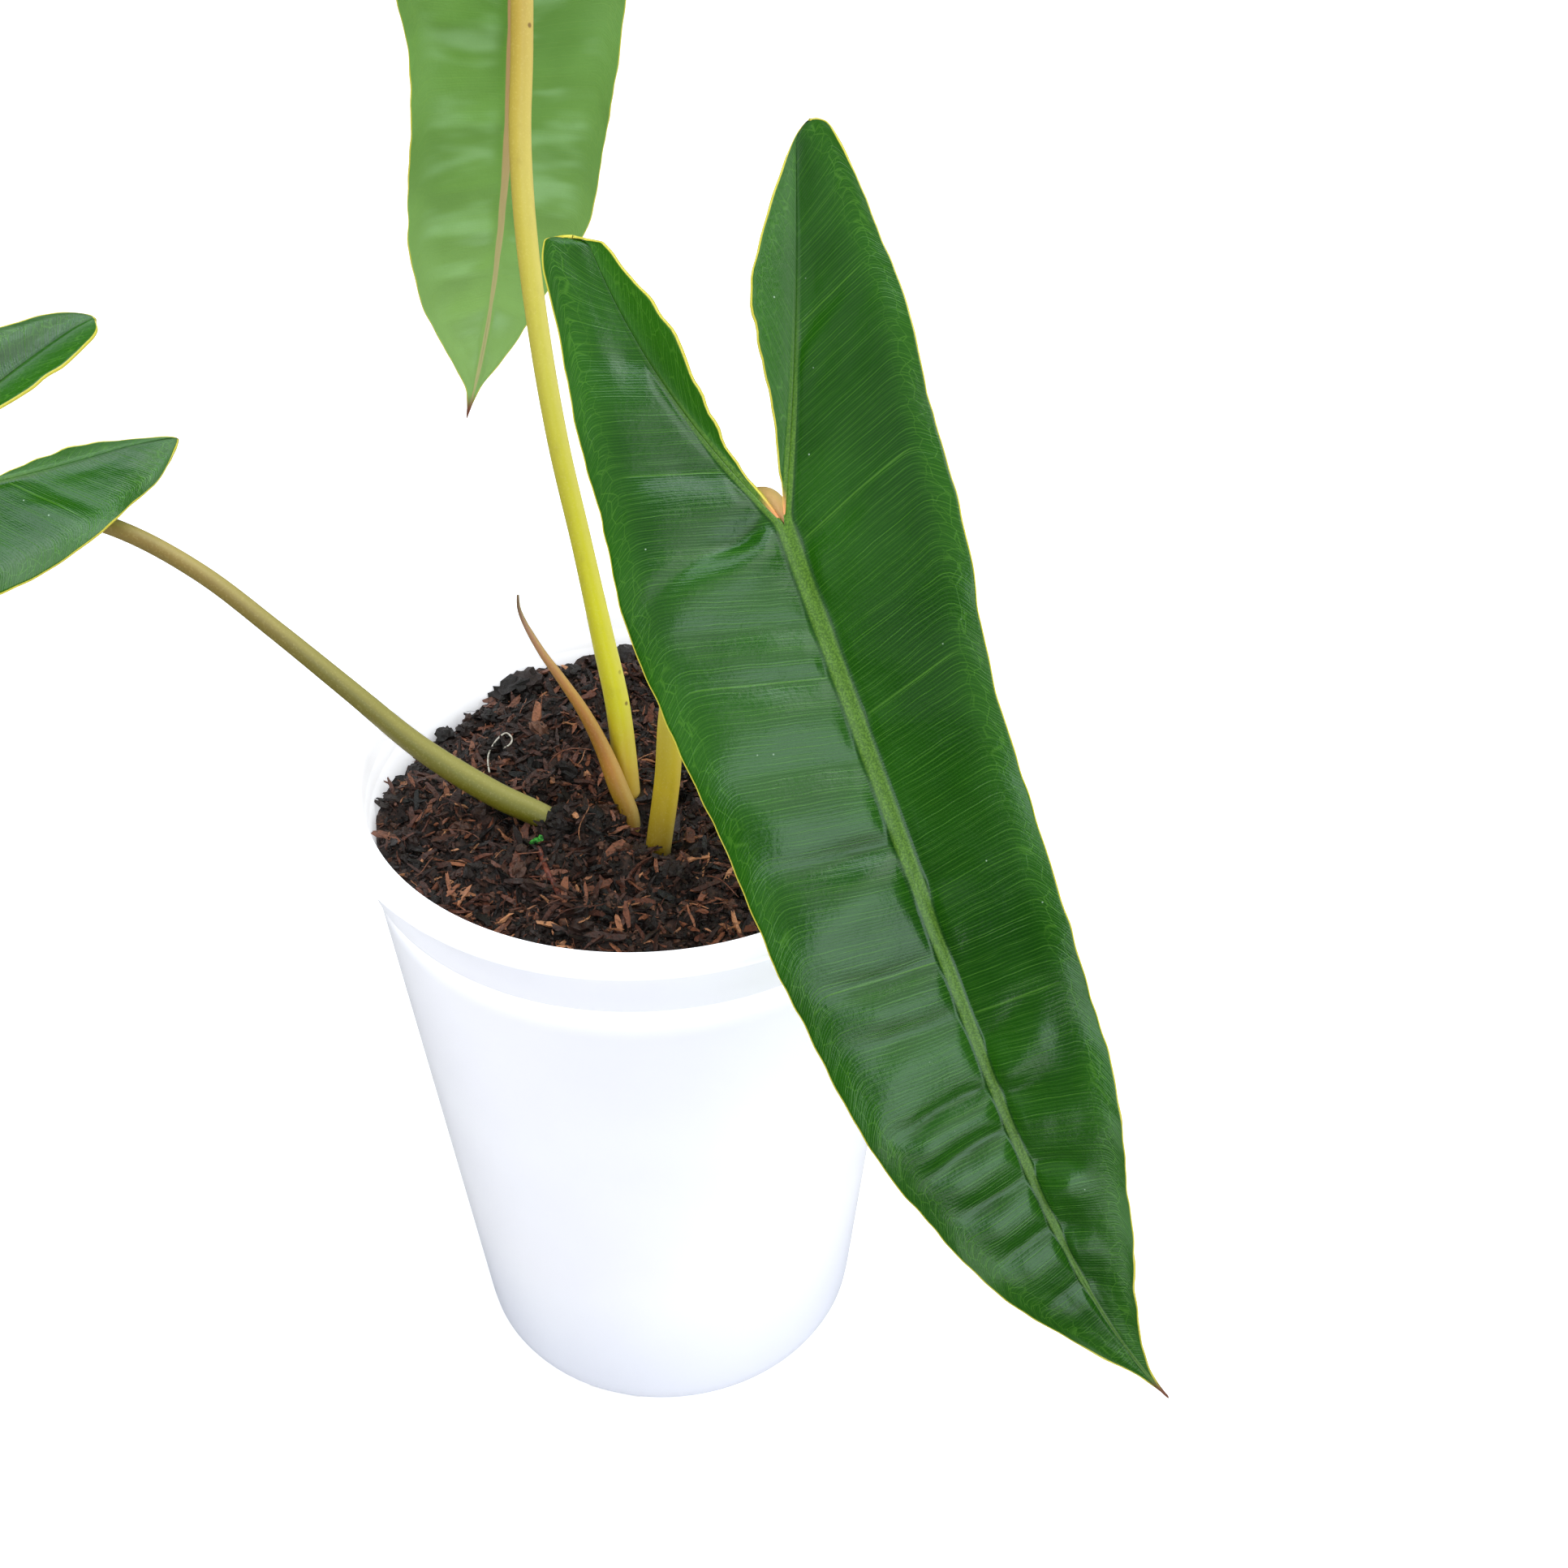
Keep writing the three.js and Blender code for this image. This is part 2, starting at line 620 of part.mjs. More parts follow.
for (const { number, leaf, stalk, stalkColor } of LEAVES) {
  const basis = bladeBasis(leaf);
  const blade = place(`blade_${number}`, bladeGeometry(leaf), finish(0x1f5a1c, 0.35));
  blade.position.setFromMatrixPosition(basis);
  blade.quaternion.setFromRotationMatrix(basis);

  const seat = new THREE.Vector3(0, 2.5, -3.4).applyMatrix4(basis).toArray();
  const path = [...stalk.path, seat];
  let stem = toSolid(taperedStalk(path, stalk.radii, STALK_SIDES, STALK_STEP)).subtract(grownStem);
  for (const slide of [0, -2 * REST_GAP]) {
    stem = stem.subtract(toSolid(bladeGeometry(leaf, REST_GAP).translate(0, slide, 0).applyMatrix4(basis)));
  }
  place(`petiole_${number}`, toGeometry(stem), finish(stalkColor, 0.45));
  soilCutters.push(toSolid(taperedStalk(path, stalk.radii, STALK_SIDES, STALK_STEP, REST_GAP)));
}

const shoot = toSolid(taperedStalk(SHOOT.path, SHOOT.radii, 8, 6));
place('new_shoot', toGeometry(shoot.subtract(grownStem)), finish(0xa8602a, 0.45));
soilCutters.push(toSolid(taperedStalk(SHOOT.path, SHOOT.radii, 8, 6, REST_GAP)));

place('rootstock', toGeometry(rootstockSolid(0)), finish(0xb59a6a, 0.8));
place('soil', soilGeometry(soilCutters), finish(0x2a1a14, 0.95));
place('pot', potGeometry(), finish(0xf4f6f8, 0.4));

export default plant;
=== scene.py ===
# Potted Philodendron billietiae: finish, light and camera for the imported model
import json
import math
import random

import bmesh
import bpy
import numpy as np
from mathutils import Matrix, Vector, noise
from mathutils.bvhtree import BVHTree

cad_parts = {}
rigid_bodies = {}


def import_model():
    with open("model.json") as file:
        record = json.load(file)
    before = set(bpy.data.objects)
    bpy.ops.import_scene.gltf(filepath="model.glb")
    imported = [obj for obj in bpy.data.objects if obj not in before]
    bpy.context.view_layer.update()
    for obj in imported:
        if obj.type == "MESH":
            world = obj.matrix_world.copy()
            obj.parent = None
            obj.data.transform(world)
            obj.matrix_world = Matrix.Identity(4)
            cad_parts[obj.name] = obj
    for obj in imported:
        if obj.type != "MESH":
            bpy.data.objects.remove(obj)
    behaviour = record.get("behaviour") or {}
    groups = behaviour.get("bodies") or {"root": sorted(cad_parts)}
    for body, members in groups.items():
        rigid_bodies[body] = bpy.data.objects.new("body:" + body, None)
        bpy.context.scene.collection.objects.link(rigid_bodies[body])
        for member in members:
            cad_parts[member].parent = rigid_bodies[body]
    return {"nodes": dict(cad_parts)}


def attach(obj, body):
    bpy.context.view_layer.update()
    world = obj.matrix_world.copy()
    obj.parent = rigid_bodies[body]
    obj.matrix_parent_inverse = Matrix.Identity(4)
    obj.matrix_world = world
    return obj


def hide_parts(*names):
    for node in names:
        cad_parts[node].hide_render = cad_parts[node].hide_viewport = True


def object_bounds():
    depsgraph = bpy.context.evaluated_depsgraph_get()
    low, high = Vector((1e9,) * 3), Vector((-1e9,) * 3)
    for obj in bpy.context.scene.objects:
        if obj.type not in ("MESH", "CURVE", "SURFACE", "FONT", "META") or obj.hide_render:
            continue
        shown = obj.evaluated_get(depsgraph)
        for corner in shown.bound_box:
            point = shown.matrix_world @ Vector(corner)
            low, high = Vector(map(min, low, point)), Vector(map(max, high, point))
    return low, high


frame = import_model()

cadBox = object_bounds()
mm = 0.001
print("frame loaded:", ", ".join(sorted(frame["nodes"])))


# Node trees
def mathStep(operation, swap=False):
    def apply(wire, other):
        first, second = (other, wire) if swap else (wire, other)
        return wire.graph.node("ShaderNodeMath", {"operation": operation}, {0: first, 1: second})
    return apply


class Wire:  # a socket that can be used in arithmetic: each operator adds its Math node
    def __init__(self, graph, socket):
        self.graph = graph
        self.socket = socket

    __add__ = __radd__ = mathStep("ADD")
    __mul__ = __rmul__ = mathStep("MULTIPLY")
    __sub__ = mathStep("SUBTRACT")
    __rsub__ = mathStep("SUBTRACT", swap=True)
    __truediv__ = mathStep("DIVIDE")
    __rtruediv__ = mathStep("DIVIDE", swap=True)
    __pow__ = mathStep("POWER")
    most = mathStep("MAXIMUM")

    def sine(self):
        return self.graph.node("ShaderNodeMath", {"operation": "SINE"}, {0: self})

    def size(self):
        return self.graph.node("ShaderNodeMath", {"operation": "ABSOLUTE"}, {0: self})

    def rise(self, low, high):  # 0 up to low, 1 from high, smooth between
        values = {"Value": self, "From Min": low, "From Max": high}
        return self.graph.node("ShaderNodeMapRange", {"interpolation_type": "SMOOTHSTEP"}, values)

    def fall(self, low, high):
        return 1 - self.rise(low, high)

    def part(self, axis):
        return self.graph.node("ShaderNodeSeparateXYZ", None, {0: self}, axis)


class Graph:
    def __init__(self, tree):
        self.tree = tree

    def feed(self, socket, value):
        if isinstance(value, Wire):
            self.tree.links.new(value.socket, socket)
        else:
            socket.default_value = value

    def node(self, kind, settings=None, inputs=None, out=0):
        made = self.tree.nodes.new(kind)
        for key, value in (settings or {}).items():
            if key == "stops":
                fillRamp(made.color_ramp, value)
            else:
                setattr(made, key, value)
        for key, value in (inputs or {}).items():
            self.feed(made.inputs[key], value)
        return Wire(self, made.outputs[out])

    def vector(self, x, y, z=0.0):
        return self.node("ShaderNodeCombineXYZ", None, {0: x, 1: y, 2: z})


def fillRamp(ramp, stops):
    while len(ramp.elements) < len(stops):
        ramp.elements.new(1.0)
    for element, (position, color) in zip(ramp.elements, stops):
        element.position = position
        element.color = paint(*color)


class Finish(Graph):  # a material: its Principled shader and what feeds it
    def __init__(self, name):
        self.material = bpy.data.materials.new(name)
        self.material.use_nodes = True
        super().__init__(self.material.node_tree)
        self.surface = self.tree.nodes["Principled BSDF"]
        self.place = self.node("ShaderNodeTexCoord", out="Object")

    def attribute(self, name):
        return self.node("ShaderNodeAttribute", {"attribute_name": name}, None, "Fac")

    def noise(self, vector, scale, detail=3.0, roughness=0.55):
        values = {"Vector": vector, "Scale": scale, "Detail": detail, "Roughness": roughness}
        return self.node("ShaderNodeTexNoise", None, values)

    def cells(self, vector, scale=1.0, feature="F1", randomness=1.0):
        values = {"Vector": vector, "Scale": scale, "Randomness": randomness}
        return self.node("ShaderNodeTexVoronoi", {"feature": feature}, values)

    def mix(self, share, first, second):  # a tone is a socket, or a colour as the eye reads it
        first, second = (tone if isinstance(tone, Wire) else paint(*tone) for tone in (first, second))
        return self.node("ShaderNodeMix", {"data_type": "RGBA"}, {0: share, 6: first, 7: second}, 2)

    def coats(self, color, *layers):  # tones laid over a colour one after another, each by its own share
        for share, tone in layers:
            color = self.mix(share, color, tone)
        return color

    def ramp(self, factor, stops):
        return self.node("ShaderNodeValToRGB", {"stops": stops}, {0: factor})

    def stretch(self, vector, scale):
        return self.node("ShaderNodeMapping", None, {"Vector": vector, "Scale": scale})

    def bump(self, height, distance, strength=1.0, under=None):
        values = {"Height": height, "Distance": distance, "Strength": strength}
        if under is not None:
            values["Normal"] = under
        return self.node("ShaderNodeBump", None, values)

    def done(self, values):
        for socket, value in values.items():
            self.feed(self.surface.inputs[socket], value)
        return self.material


def paint(*tone):  # red, green and blue as the eye reads them, 0 to 255, made linear
    shares = [c / 255 for c in tone]
    return (*[c / 12.92 if c < 0.0404 else ((c + 0.055) / 1.055) ** 2.4 for c in shares], 1.0)


class Grower(Graph):  # a Geometry Nodes tree with named inputs
    def __init__(self, name, inputs):
        super().__init__(bpy.data.node_groups.new(name, "GeometryNodeTree"))
        face = self.tree.interface
        face.new_socket("Geometry", in_out="OUTPUT", socket_type="NodeSocketGeometry")
        self.ids = {}
        for label, kind in {"Geometry": "Geometry", **inputs}.items():
            socket = face.new_socket(label, in_out="INPUT", socket_type="NodeSocket" + kind)
            self.ids[label] = socket.identifier
        self.start = self.tree.nodes.new("NodeGroupInput")

    def given(self, label):
        return Wire(self, self.start.outputs[label])

    def close(self, geometry):
        end = self.tree.nodes.new("NodeGroupOutput")
        self.feed(end.inputs[0], geometry)

    def grow(self, carrier, name, values):
        modifier = carrier.modifiers.new("grow", "NODES")
        modifier.node_group = self.tree
        for label, value in values.items():
            modifier[self.ids[label]] = value
        mesh = finalMesh(carrier)
        carrier.modifiers.remove(modifier)
        return addObject(name, mesh)


# Meshes
def addObject(name, data):
    data.name = name
    thing = bpy.data.objects.new(name, data)
    bpy.context.scene.collection.objects.link(thing)
    return thing


def finalMesh(piece):  # the piece's mesh with its modifiers worked in
    return bpy.data.meshes.new_from_object(piece.evaluated_get(bpy.context.evaluated_depsgraph_get()))


def formMesh(form, name):
    mesh = bpy.data.meshes.new(name)
    form.to_mesh(mesh)
    form.free()
    return mesh


def plainMesh(name, points, faces, edges=()):
    mesh = bpy.data.meshes.new(name)
    mesh.from_pydata(np.asarray(points, float).tolist(), list(edges), faces)
    return mesh


def addMesh(name, points, faces, material=None, edges=()):
    mesh = plainMesh(name, points, faces, edges)
    mesh.shade_smooth()
    if material is not None:
        mesh.materials.append(material)
    return addObject(name, mesh)


def putValues(mesh, name, values, domain="POINT"):
    layer = mesh.attributes.new(name, "FLOAT", domain)
    layer.data.foreach_set("value", np.asarray(values, np.float32).ravel())


def handOver(piece, slot, *nodes):
    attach(piece, "root")
    if nodes:
        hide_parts(*nodes)


def smoothThrough(stations, values):  # a curve through the values that never swings past them
    xs = np.array(stations, float)
    ys = np.array(values, float)
    slope = np.diff(ys) / np.diff(xs)
    lean = np.zeros(len(xs))
    lean[0], lean[-1] = slope[0], slope[-1]
    product = slope[:-1] * slope[1:]
    total = np.where(product > 0, slope[:-1] + slope[1:], 1)
    lean[1:-1] = np.where(product > 0, 2 * product / total, 0)

    def at(x):
        i = np.clip(np.searchsorted(xs, x, side="right") - 1, 0, len(xs) - 2)
        span = xs[i + 1] - xs[i]
        t = np.clip((x - xs[i]) / span, 0, 1)
        return ((2 * t**3 - 3 * t**2 + 1) * ys[i] + (t**3 - 2 * t**2 + t) * span * lean[i]
                + (3 * t**2 - 2 * t**3) * ys[i + 1] + (t**3 - t**2) * span * lean[i + 1])
    return at


def smoothPath(points, step):  # centripetal curve through the points, evenly stepped
    p = np.array(points, float)
    p = np.vstack([2 * p[0] - p[1], p, 2 * p[-1] - p[-2]])
    out = []
    for a, b, c, d in zip(p[:-3], p[1:-2], p[2:-1], p[3:]):
        t1, t2, t3 = np.cumsum([np.linalg.norm(v - u) ** 0.5 for u, v in ((a, b), (b, c), (c, d))])
        t = np.linspace(t1, t2, 24, endpoint=False)[:, None]
        u1 = (t1 - t) / t1 * a + t / t1 * b
        u2 = (t2 - t) / (t2 - t1) * b + (t - t1) / (t2 - t1) * c
        u3 = (t3 - t) / (t3 - t2) * c + (t - t2) / (t3 - t2) * d
        v1 = (t2 - t) / t2 * u1 + t / t2 * u2
        v2 = (t3 - t) / (t3 - t1) * u2 + (t - t1) / (t3 - t1) * u3
        out.append((t2 - t) / (t2 - t1) * v1 + (t - t1) / (t2 - t1) * v2)
    curve = np.vstack([*out, p[-2][None]])
    run = np.r_[0, np.cumsum(np.linalg.norm(np.diff(curve, axis=0), axis=1))]
    even = np.linspace(0, run[-1], max(2, int(run[-1] / step) + 1))
    return np.stack([np.interp(even, run, curve[:, k]) for k in range(3)], axis=1)


# Camera: looks down at the plant as the photograph does, with the pot's axis left of the middle
view = {"place": (0.0341, -0.3924, 0.4844), "down": 38.1, "focal": 2500, "frame": 1932, "sensor": 36}


def addCamera():
    data = bpy.data.cameras.new("camera")
    data.sensor_width = view["sensor"]
    data.lens = view["focal"] / view["frame"] * view["sensor"]
    data.clip_start = 0.01
    camera = addObject("camera", data)
    camera.location = view["place"]
    camera.rotation_euler = (math.radians(90 - view["down"]), 0, 0)
    bpy.context.scene.camera = camera


def sightLine(px, py):  # the direction in which the photograph's pixel looks
    down = math.radians(view["down"])
    middle = view["frame"] / 2
    right, up = (px - middle) / view["focal"], (middle - py) / view["focal"]
    forward = Vector((0, math.cos(down), -math.sin(down)))
    upward = Vector((0, math.sin(down), math.cos(down)))
    return (forward + Vector((right, 0, 0)) + upward * up).normalized()


# Pot: a turned profile with four notches; sizes in mm
pot = {
    "height": 184, "base": 53, "foot": 1.6, "floor": 2.4, "floorRound": 2, "wall": 1.5,
    "collar": 68.4, "collarHeight": 18, "step": 1.5, "lean": 1, "flange": 2.4, "rim": 75.5,
    "round": 0.9, "lip": 68, "lipDepth": 3, "segments": 240, "rings": (6.5, 11), "ringDepth": 0.06,
}
# small marks on the wall: place and reach
specks = [((-0.049, -0.021, 0.0315), 0.9 * mm), ((-0.0668, -0.0095, 0.176), 0.8 * mm)]
# painted glow: the pot emits light on the wall above the soil and on the rim, standing in for daylight
# through the thin wall; the heights and radii, in m, between which it comes or goes
paintedGlows = {"wall": (0.155, 0.172), "outside": (0.0688, 0.0694), "rim": (0.1815, 0.183), "strength": 0.58}
drain = {"count": 4, "width": 14.6, "height": 6.5, "depth": 9, "inset": 1, "turn": -15}


def wallRadius(z):
    return pot["base"] + (pot["collar"] - pot["base"]) * z / (pot["height"] - pot["collarHeight"])


def insideRadius(z):
    return wallRadius(z) - pot["wall"]


def potProfile():
    top, rnd = pot["height"], pot["round"]
    base, collar, rim, lip = pot["base"], pot["collar"], pot["rim"], pot["lip"]
    collarFoot = top - pot["collarHeight"]
    collarOut = collar + pot["step"]
    brow = collarOut + pot["lean"]
    under = top - pot["flange"]
    outer = [(base + (collar - base) * t, collarFoot * t) for t in np.linspace(0.03, 0.985, 30)]
    lipFoot = top - pot["lipDepth"]
    rings = []
    for depth in pot["rings"]:  # faint mould lines inside, under the rim
        for shift, groove in ((0.5, 0), (0.2, 1), (-0.2, 1), (-0.5, 0)):
            z = top - depth + shift
            rings.append((insideRadius(z) + groove * pot["ringDepth"], z))
    floorTop = pot["floor"] + pot["floorRound"]
    return [
        (0, 0), (base - 6, 0), (base - pot["foot"], 0), (base - 0.5, 0.45), (base, pot["foot"]), *outer,
        (collar + 0.1, collarFoot - 0.3), (collar + 0.6, collarFoot + 0.3), (collarOut - 0.2, collarFoot + 1),
        (collarOut, collarFoot + 1.7), (collarOut + 0.35, collarFoot + 6), (brow - 0.1, under - 0.8),
        (brow + 0.3, under - 0.15), (brow + 1, under), (rim - rnd, under), (rim - 0.25, under + 0.25),
        (rim, under + rnd), (rim, top - rnd), (rim - 0.25, top - 0.25), (rim - rnd, top), (lip + rnd, top),
        (lip + 0.25, top - 0.25), (lip, top - rnd), (insideRadius(lipFoot), lipFoot), *rings,
        *[(insideRadius(z), z) for z in np.linspace(top - 20, floorTop, 24)],
        (insideRadius(pot["floor"]) - pot["floorRound"], pot["floor"]), (0, pot["floor"]),
    ]


def potFinish():
    s = Finish("pot plastic")
    cloud = s.noise(s.place, 9, 3)
    grain = s.noise(s.stretch(s.place, (1, 1, 0.25)), 1400, 2)
    height = s.place.part(2)
    color = s.mix(cloud.rise(0.3, 0.75), (231, 231, 238), (239, 240, 245))
    # painted shade: the pot darker and bluer towards its foot
    color = s.mix(height.fall(0.0, 0.06) * 0.6, color, (216, 220, 234))
    for spot, reach in specks:
        away = s.node("ShaderNodeVectorMath", {"operation": "DISTANCE"}, {0: s.place, 1: spot}, 1)
        speck = (away + s.noise(s.place, 900, 1) * 0.0012).fall(reach, reach * 1.5)
        color = s.mix(speck * 0.55, color, (150, 160, 172))
    across = s.node("ShaderNodeVectorMath", {"operation": "LENGTH"}, {0: s.stretch(s.place, (1, 1, 0))}, 1)
    # painted glow on the wall above the soil and on the rim, in place of daylight through the thin wall
    glow = height.rise(*paintedGlows["wall"]) * across.fall(*paintedGlows["outside"])
    glow = glow.most(height.rise(*paintedGlows["rim"]) * 0.5)
    soft = s.bump(cloud, 0.0006, 0.5)
    return s.done({
        "Emission Color": s.mix(glow, (0, 0, 0), (252, 253, 255)), "Emission Strength": paintedGlows["strength"],
        "Base Color": color, "Roughness": 0.34 + 0.1 * grain, "IOR": 1.46, "Coat Weight": 0.0,
        "Normal": s.bump(grain, 0.00002, 0.4, soft),
    })


def buildPot():
    profile = np.array(potProfile()) * mm
    form = bmesh.new()
    line = [form.verts.new((r, 0, z)) for r, z in profile]
    edges = [form.edges.new(pair) for pair in zip(line, line[1:])]
    bmesh.ops.spin(form, geom=line + edges, axis=(0, 0, 1), cent=(0, 0, 0), angle=2 * math.pi,
                   steps=pot["segments"], use_duplicate=False)
    bmesh.ops.remove_doubles(form, verts=form.verts, dist=1e-6)
    bmesh.ops.recalc_face_normals(form, faces=form.faces)
    whitePot = addObject("whitePot", formMesh(form, "whitePot"))
    cutter = drainCutter()
    cut = whitePot.modifiers.new("drain", "BOOLEAN")
    cut.object = cutter
    cut.operation = "DIFFERENCE"
    cut.solver = "EXACT"
    whitePot.data = finalMesh(whitePot)
    whitePot.modifiers.clear()
    bpy.data.objects.remove(cutter)
    whitePot.data.shade_smooth()
    whitePot.data.set_sharp_from_angle(angle=math.radians(38))
    whitePot.data.materials.append(potFinish())
    handOver(whitePot, "pot_plastic", "pot")
    print("pot:", len(whitePot.data.polygons), "faces")


def drainCutter():  # arches where the wall meets the floor; the inset keeps them inside the wall's outer side
    half, height = drain["width"] / 2, drain["height"]
    arch = [(-half, -1), (half, -1), (half, 0.35 * height)]
    for a in np.linspace(0.2, math.pi - 0.2, 14):
        arch.append((half * math.cos(a), height * (0.35 + 0.65 * math.sin(a))))
    arch.append((-half, 0.35 * height))
    points, faces = [], []
    for i in range(drain["count"]):
        turn = Matrix.Rotation(math.radians(drain["turn"] + 360 / drain["count"] * i), 3, "Z")
        start = len(points)
        middle = -(pot["base"] - drain["depth"] / 2 - drain["inset"])
        for depth in (-drain["depth"] / 2, drain["depth"] / 2):
            points += [turn @ Vector((x, middle + depth, z)) * mm for x, z in arch]
        n = len(arch)
        faces.append([start + j for j in range(n)])
        faces.append([start + n + j for j in reversed(range(n))])
        faces += [[start + j, start + n + j, start + n + (j + 1) % n, start + (j + 1) % n] for j in range(n)]
    cutter = addMesh("drainCutter", [list(p) for p in points], faces)
    form = bmesh.new()
    form.from_mesh(cutter.data)
    bmesh.ops.recalc_face_normals(form, faces=form.faces)
    form.to_mesh(cutter.data)
    form.free()
    return cutter


# Soil: a lumpy mound, with crumbs, bark shreds and coir strands strewn over it; sizes in mm
soil = {
    "level": 170.5, "lump": 1.5, "edgeRise": 1, "clod": 2.1, "spokes": 230, "rings": 78, "gap": 0.35,
    "pressGap": 0.08, "openFrom": 155, "openEdge": 1.2,
}
dip = {"angle": 148, "spread": 26, "depth": 7.3}
# mix piled up where the left stalk goes in: x, y, height and reach
heaps = [(-20.5, -8.8, 3.2, 5.5), (-14, -11, 1.5, 6)]


def soilHeight(x, y):
    lumps = (np.sin(0.19 * x + 1.3) * np.sin(0.23 * y + 0.4) + 0.7 * np.sin(0.41 * x - 0.3 * y + 2.1)
             + 0.5 * np.sin(0.37 * y + 0.52 * x))
    edge = np.hypot(x, y) / pot["collar"]
    away = (np.degrees(np.arctan2(y, x)) - dip["angle"] + 180) % 360 - 180
    t = np.clip((edge - 0.55) / 0.45, 0, 1)
    sag = dip["depth"] * np.exp(-((away / dip["spread"]) ** 2)) * t * t * (3 - 2 * t)
    heap = sum(tall * np.exp(-(((x - cx) ** 2 + (y - cy) ** 2) / reach**2)) for cx, cy, tall, reach in heaps)
    return soil["level"] + soil["lump"] * lumps * (1 - 0.4 * edge) + soil["edgeRise"] * edge**4 - sag + heap


def clods(x, y):
    place = Vector((x, y, 3.7))
    broad = noise.noise(place / 9) * 1.1
    fine = noise.noise(place / 3.2) * 0.9 + noise.noise(place / 1.4) * 0.45
    return soil["clod"] * (broad + fine)


def soilFinish():
    s = Finish("potting mix")
    tint = s.noise(s.place, 420, 4, 0.65)
    patch = s.noise(s.place, 60, 2)
    color = s.ramp(tint * 0.75 + patch * 0.25, [
        (0.3, (14, 8, 6)), (0.48, (34, 22, 18)), (0.6, (58, 38, 30)), (0.72, (94, 60, 45))])
    bumpy = s.bump(s.noise(s.place, 900, 3, 0.7), 0.0006, 0.8)
    return s.done({"Base Color": color, "Roughness": 0.6 + 0.35 * patch, "Normal": bumpy})


def crumbFinish():
    s = Finish("crumbs")
    tint = s.attribute("tint")
    mottle = s.noise(s.place, 700, 3, 0.6)
    color = s.ramp(tint * 0.8 + mottle * 0.25, [
        (0.1, (12, 8, 6)), (0.45, (30, 19, 15)), (0.7, (54, 35, 28)), (0.88, (86, 56, 42)),
        (1.0, (124, 84, 62))])
    return s.done({
        "Base Color": color, "Roughness": 0.34 + 0.5 * mottle,
        "Normal": s.bump(s.noise(s.place, 1500, 3), 0.0005, 0.8),
    })


def shredFinish():
    s = Finish("bark shreds")
    tint = s.attribute("tint")
    strands = s.noise(s.stretch(s.place, (900, 900, 2600)), 1, 2)
    color = s.ramp(tint, [
        (0.0, (16, 10, 8)), (0.32, (40, 23, 18)), (0.56, (68, 38, 28)), (0.78, (98, 56, 40)),
        (0.92, (134, 82, 56)), (1.0, (184, 128, 88))])
    color = s.mix(strands.rise(0.45, 0.75) * 0.65, color, (15, 10, 8))
    fibrous = s.bump(strands, 0.0004, 0.9)
    return s.done({"Base Color": color, "Roughness": 0.36 + 0.3 * strands, "Normal": fibrous})


def lump(name, seed, squash, cuts):  # one crumb: a rough ball with flat faces, 1 unit across
    draw = random.Random(seed)
    form = bmesh.new()
    bmesh.ops.create_cube(form, size=1)
    if cuts:
        bmesh.ops.subdivide_edges(form, edges=form.edges, cuts=cuts, use_grid_fill=True)
    for v in form.verts:
        v.co = v.co.normalized() * (0.5 * draw.uniform(0.66, 1.3))
        v.co.z *= squash
    return bpy.data.objects.new(name, formMesh(form, name))


def shred(name, seed, width, thick):  # one sliver of bark: long, flat and torn at its ends, 1 unit long
    draw = random.Random(seed)
    form = bmesh.new()
    bmesh.ops.create_cube(form, size=1)
    long = [e for e in form.edges if abs(e.verts[0].co.x - e.verts[1].co.x) > 0.5]
    bmesh.ops.subdivide_edges(form, edges=long, cuts=4)
    bend = draw.uniform(-0.1, 0.1)
    for v in form.verts:
        x = v.co.x
        end = abs(2 * x) ** 5
        v.co.y *= width * (1 - 0.5 * end) * draw.uniform(0.65, 1.3)
        v.co.z = v.co.z * thick * (1 - 0.5 * end) + bend * (4 * x * x - 0.5) + draw.uniform(-0.02, 0.02)
        v.co.y += 0.6 * bend * math.sin(5 * x + seed)
        v.co.x = x + end * draw.uniform(-0.12, 0.1)
    return bpy.data.objects.new(name, formMesh(form, name))


def bandFaces(first, bands, sides):  # quads between rings of points that follow one another
    around = [(j, (j + 1) % sides) for j in range(sides)]
    starts = [first + i * sides for i in range(bands)]
    return [[a + j, a + k, a + sides + k, a + sides + j] for a in starts for j, k in around]


def tubeMesh(points, radius, sides):  # plain tube along a short line
    rings = []
    for i, p in enumerate(points):
        ahead = Vector(points[min(i + 1, len(points) - 1)]) - Vector(points[max(i - 1, 0)])
        turn = ahead.to_track_quat("Z", "Y")
        girth = radius * (0.35 if i in (0, len(points) - 1) else 1)
        rings.append([Vector(p) + turn @ (Vector((math.cos(a), math.sin(a), 0)) * girth)
                      for a in np.arange(sides) * 2 * math.pi / sides])
    faces = bandFaces(0, len(points) - 1, sides)
    faces += [list(range(sides))[::-1], [(len(points) - 1) * sides + j for j in range(sides)]]
    return [list(v) for ring in rings for v in ring], faces


def strand(name, seed):  # one bent coir strand, 1 unit long
    draw = random.Random(seed)
    turn, lift = draw.uniform(-2.2, 2.2), draw.uniform(0.05, 0.22)
    line = []
    for t in np.linspace(0, 1, 8):
        angle = turn * (t - 0.5)
        line.append((t - 0.5, 0.25 * math.sin(2 * angle), lift * math.sin(math.pi * t) - 0.04))
    return bpy.data.objects.new(name, plainMesh(name, *tubeMesh(line, 0.016, 4)))


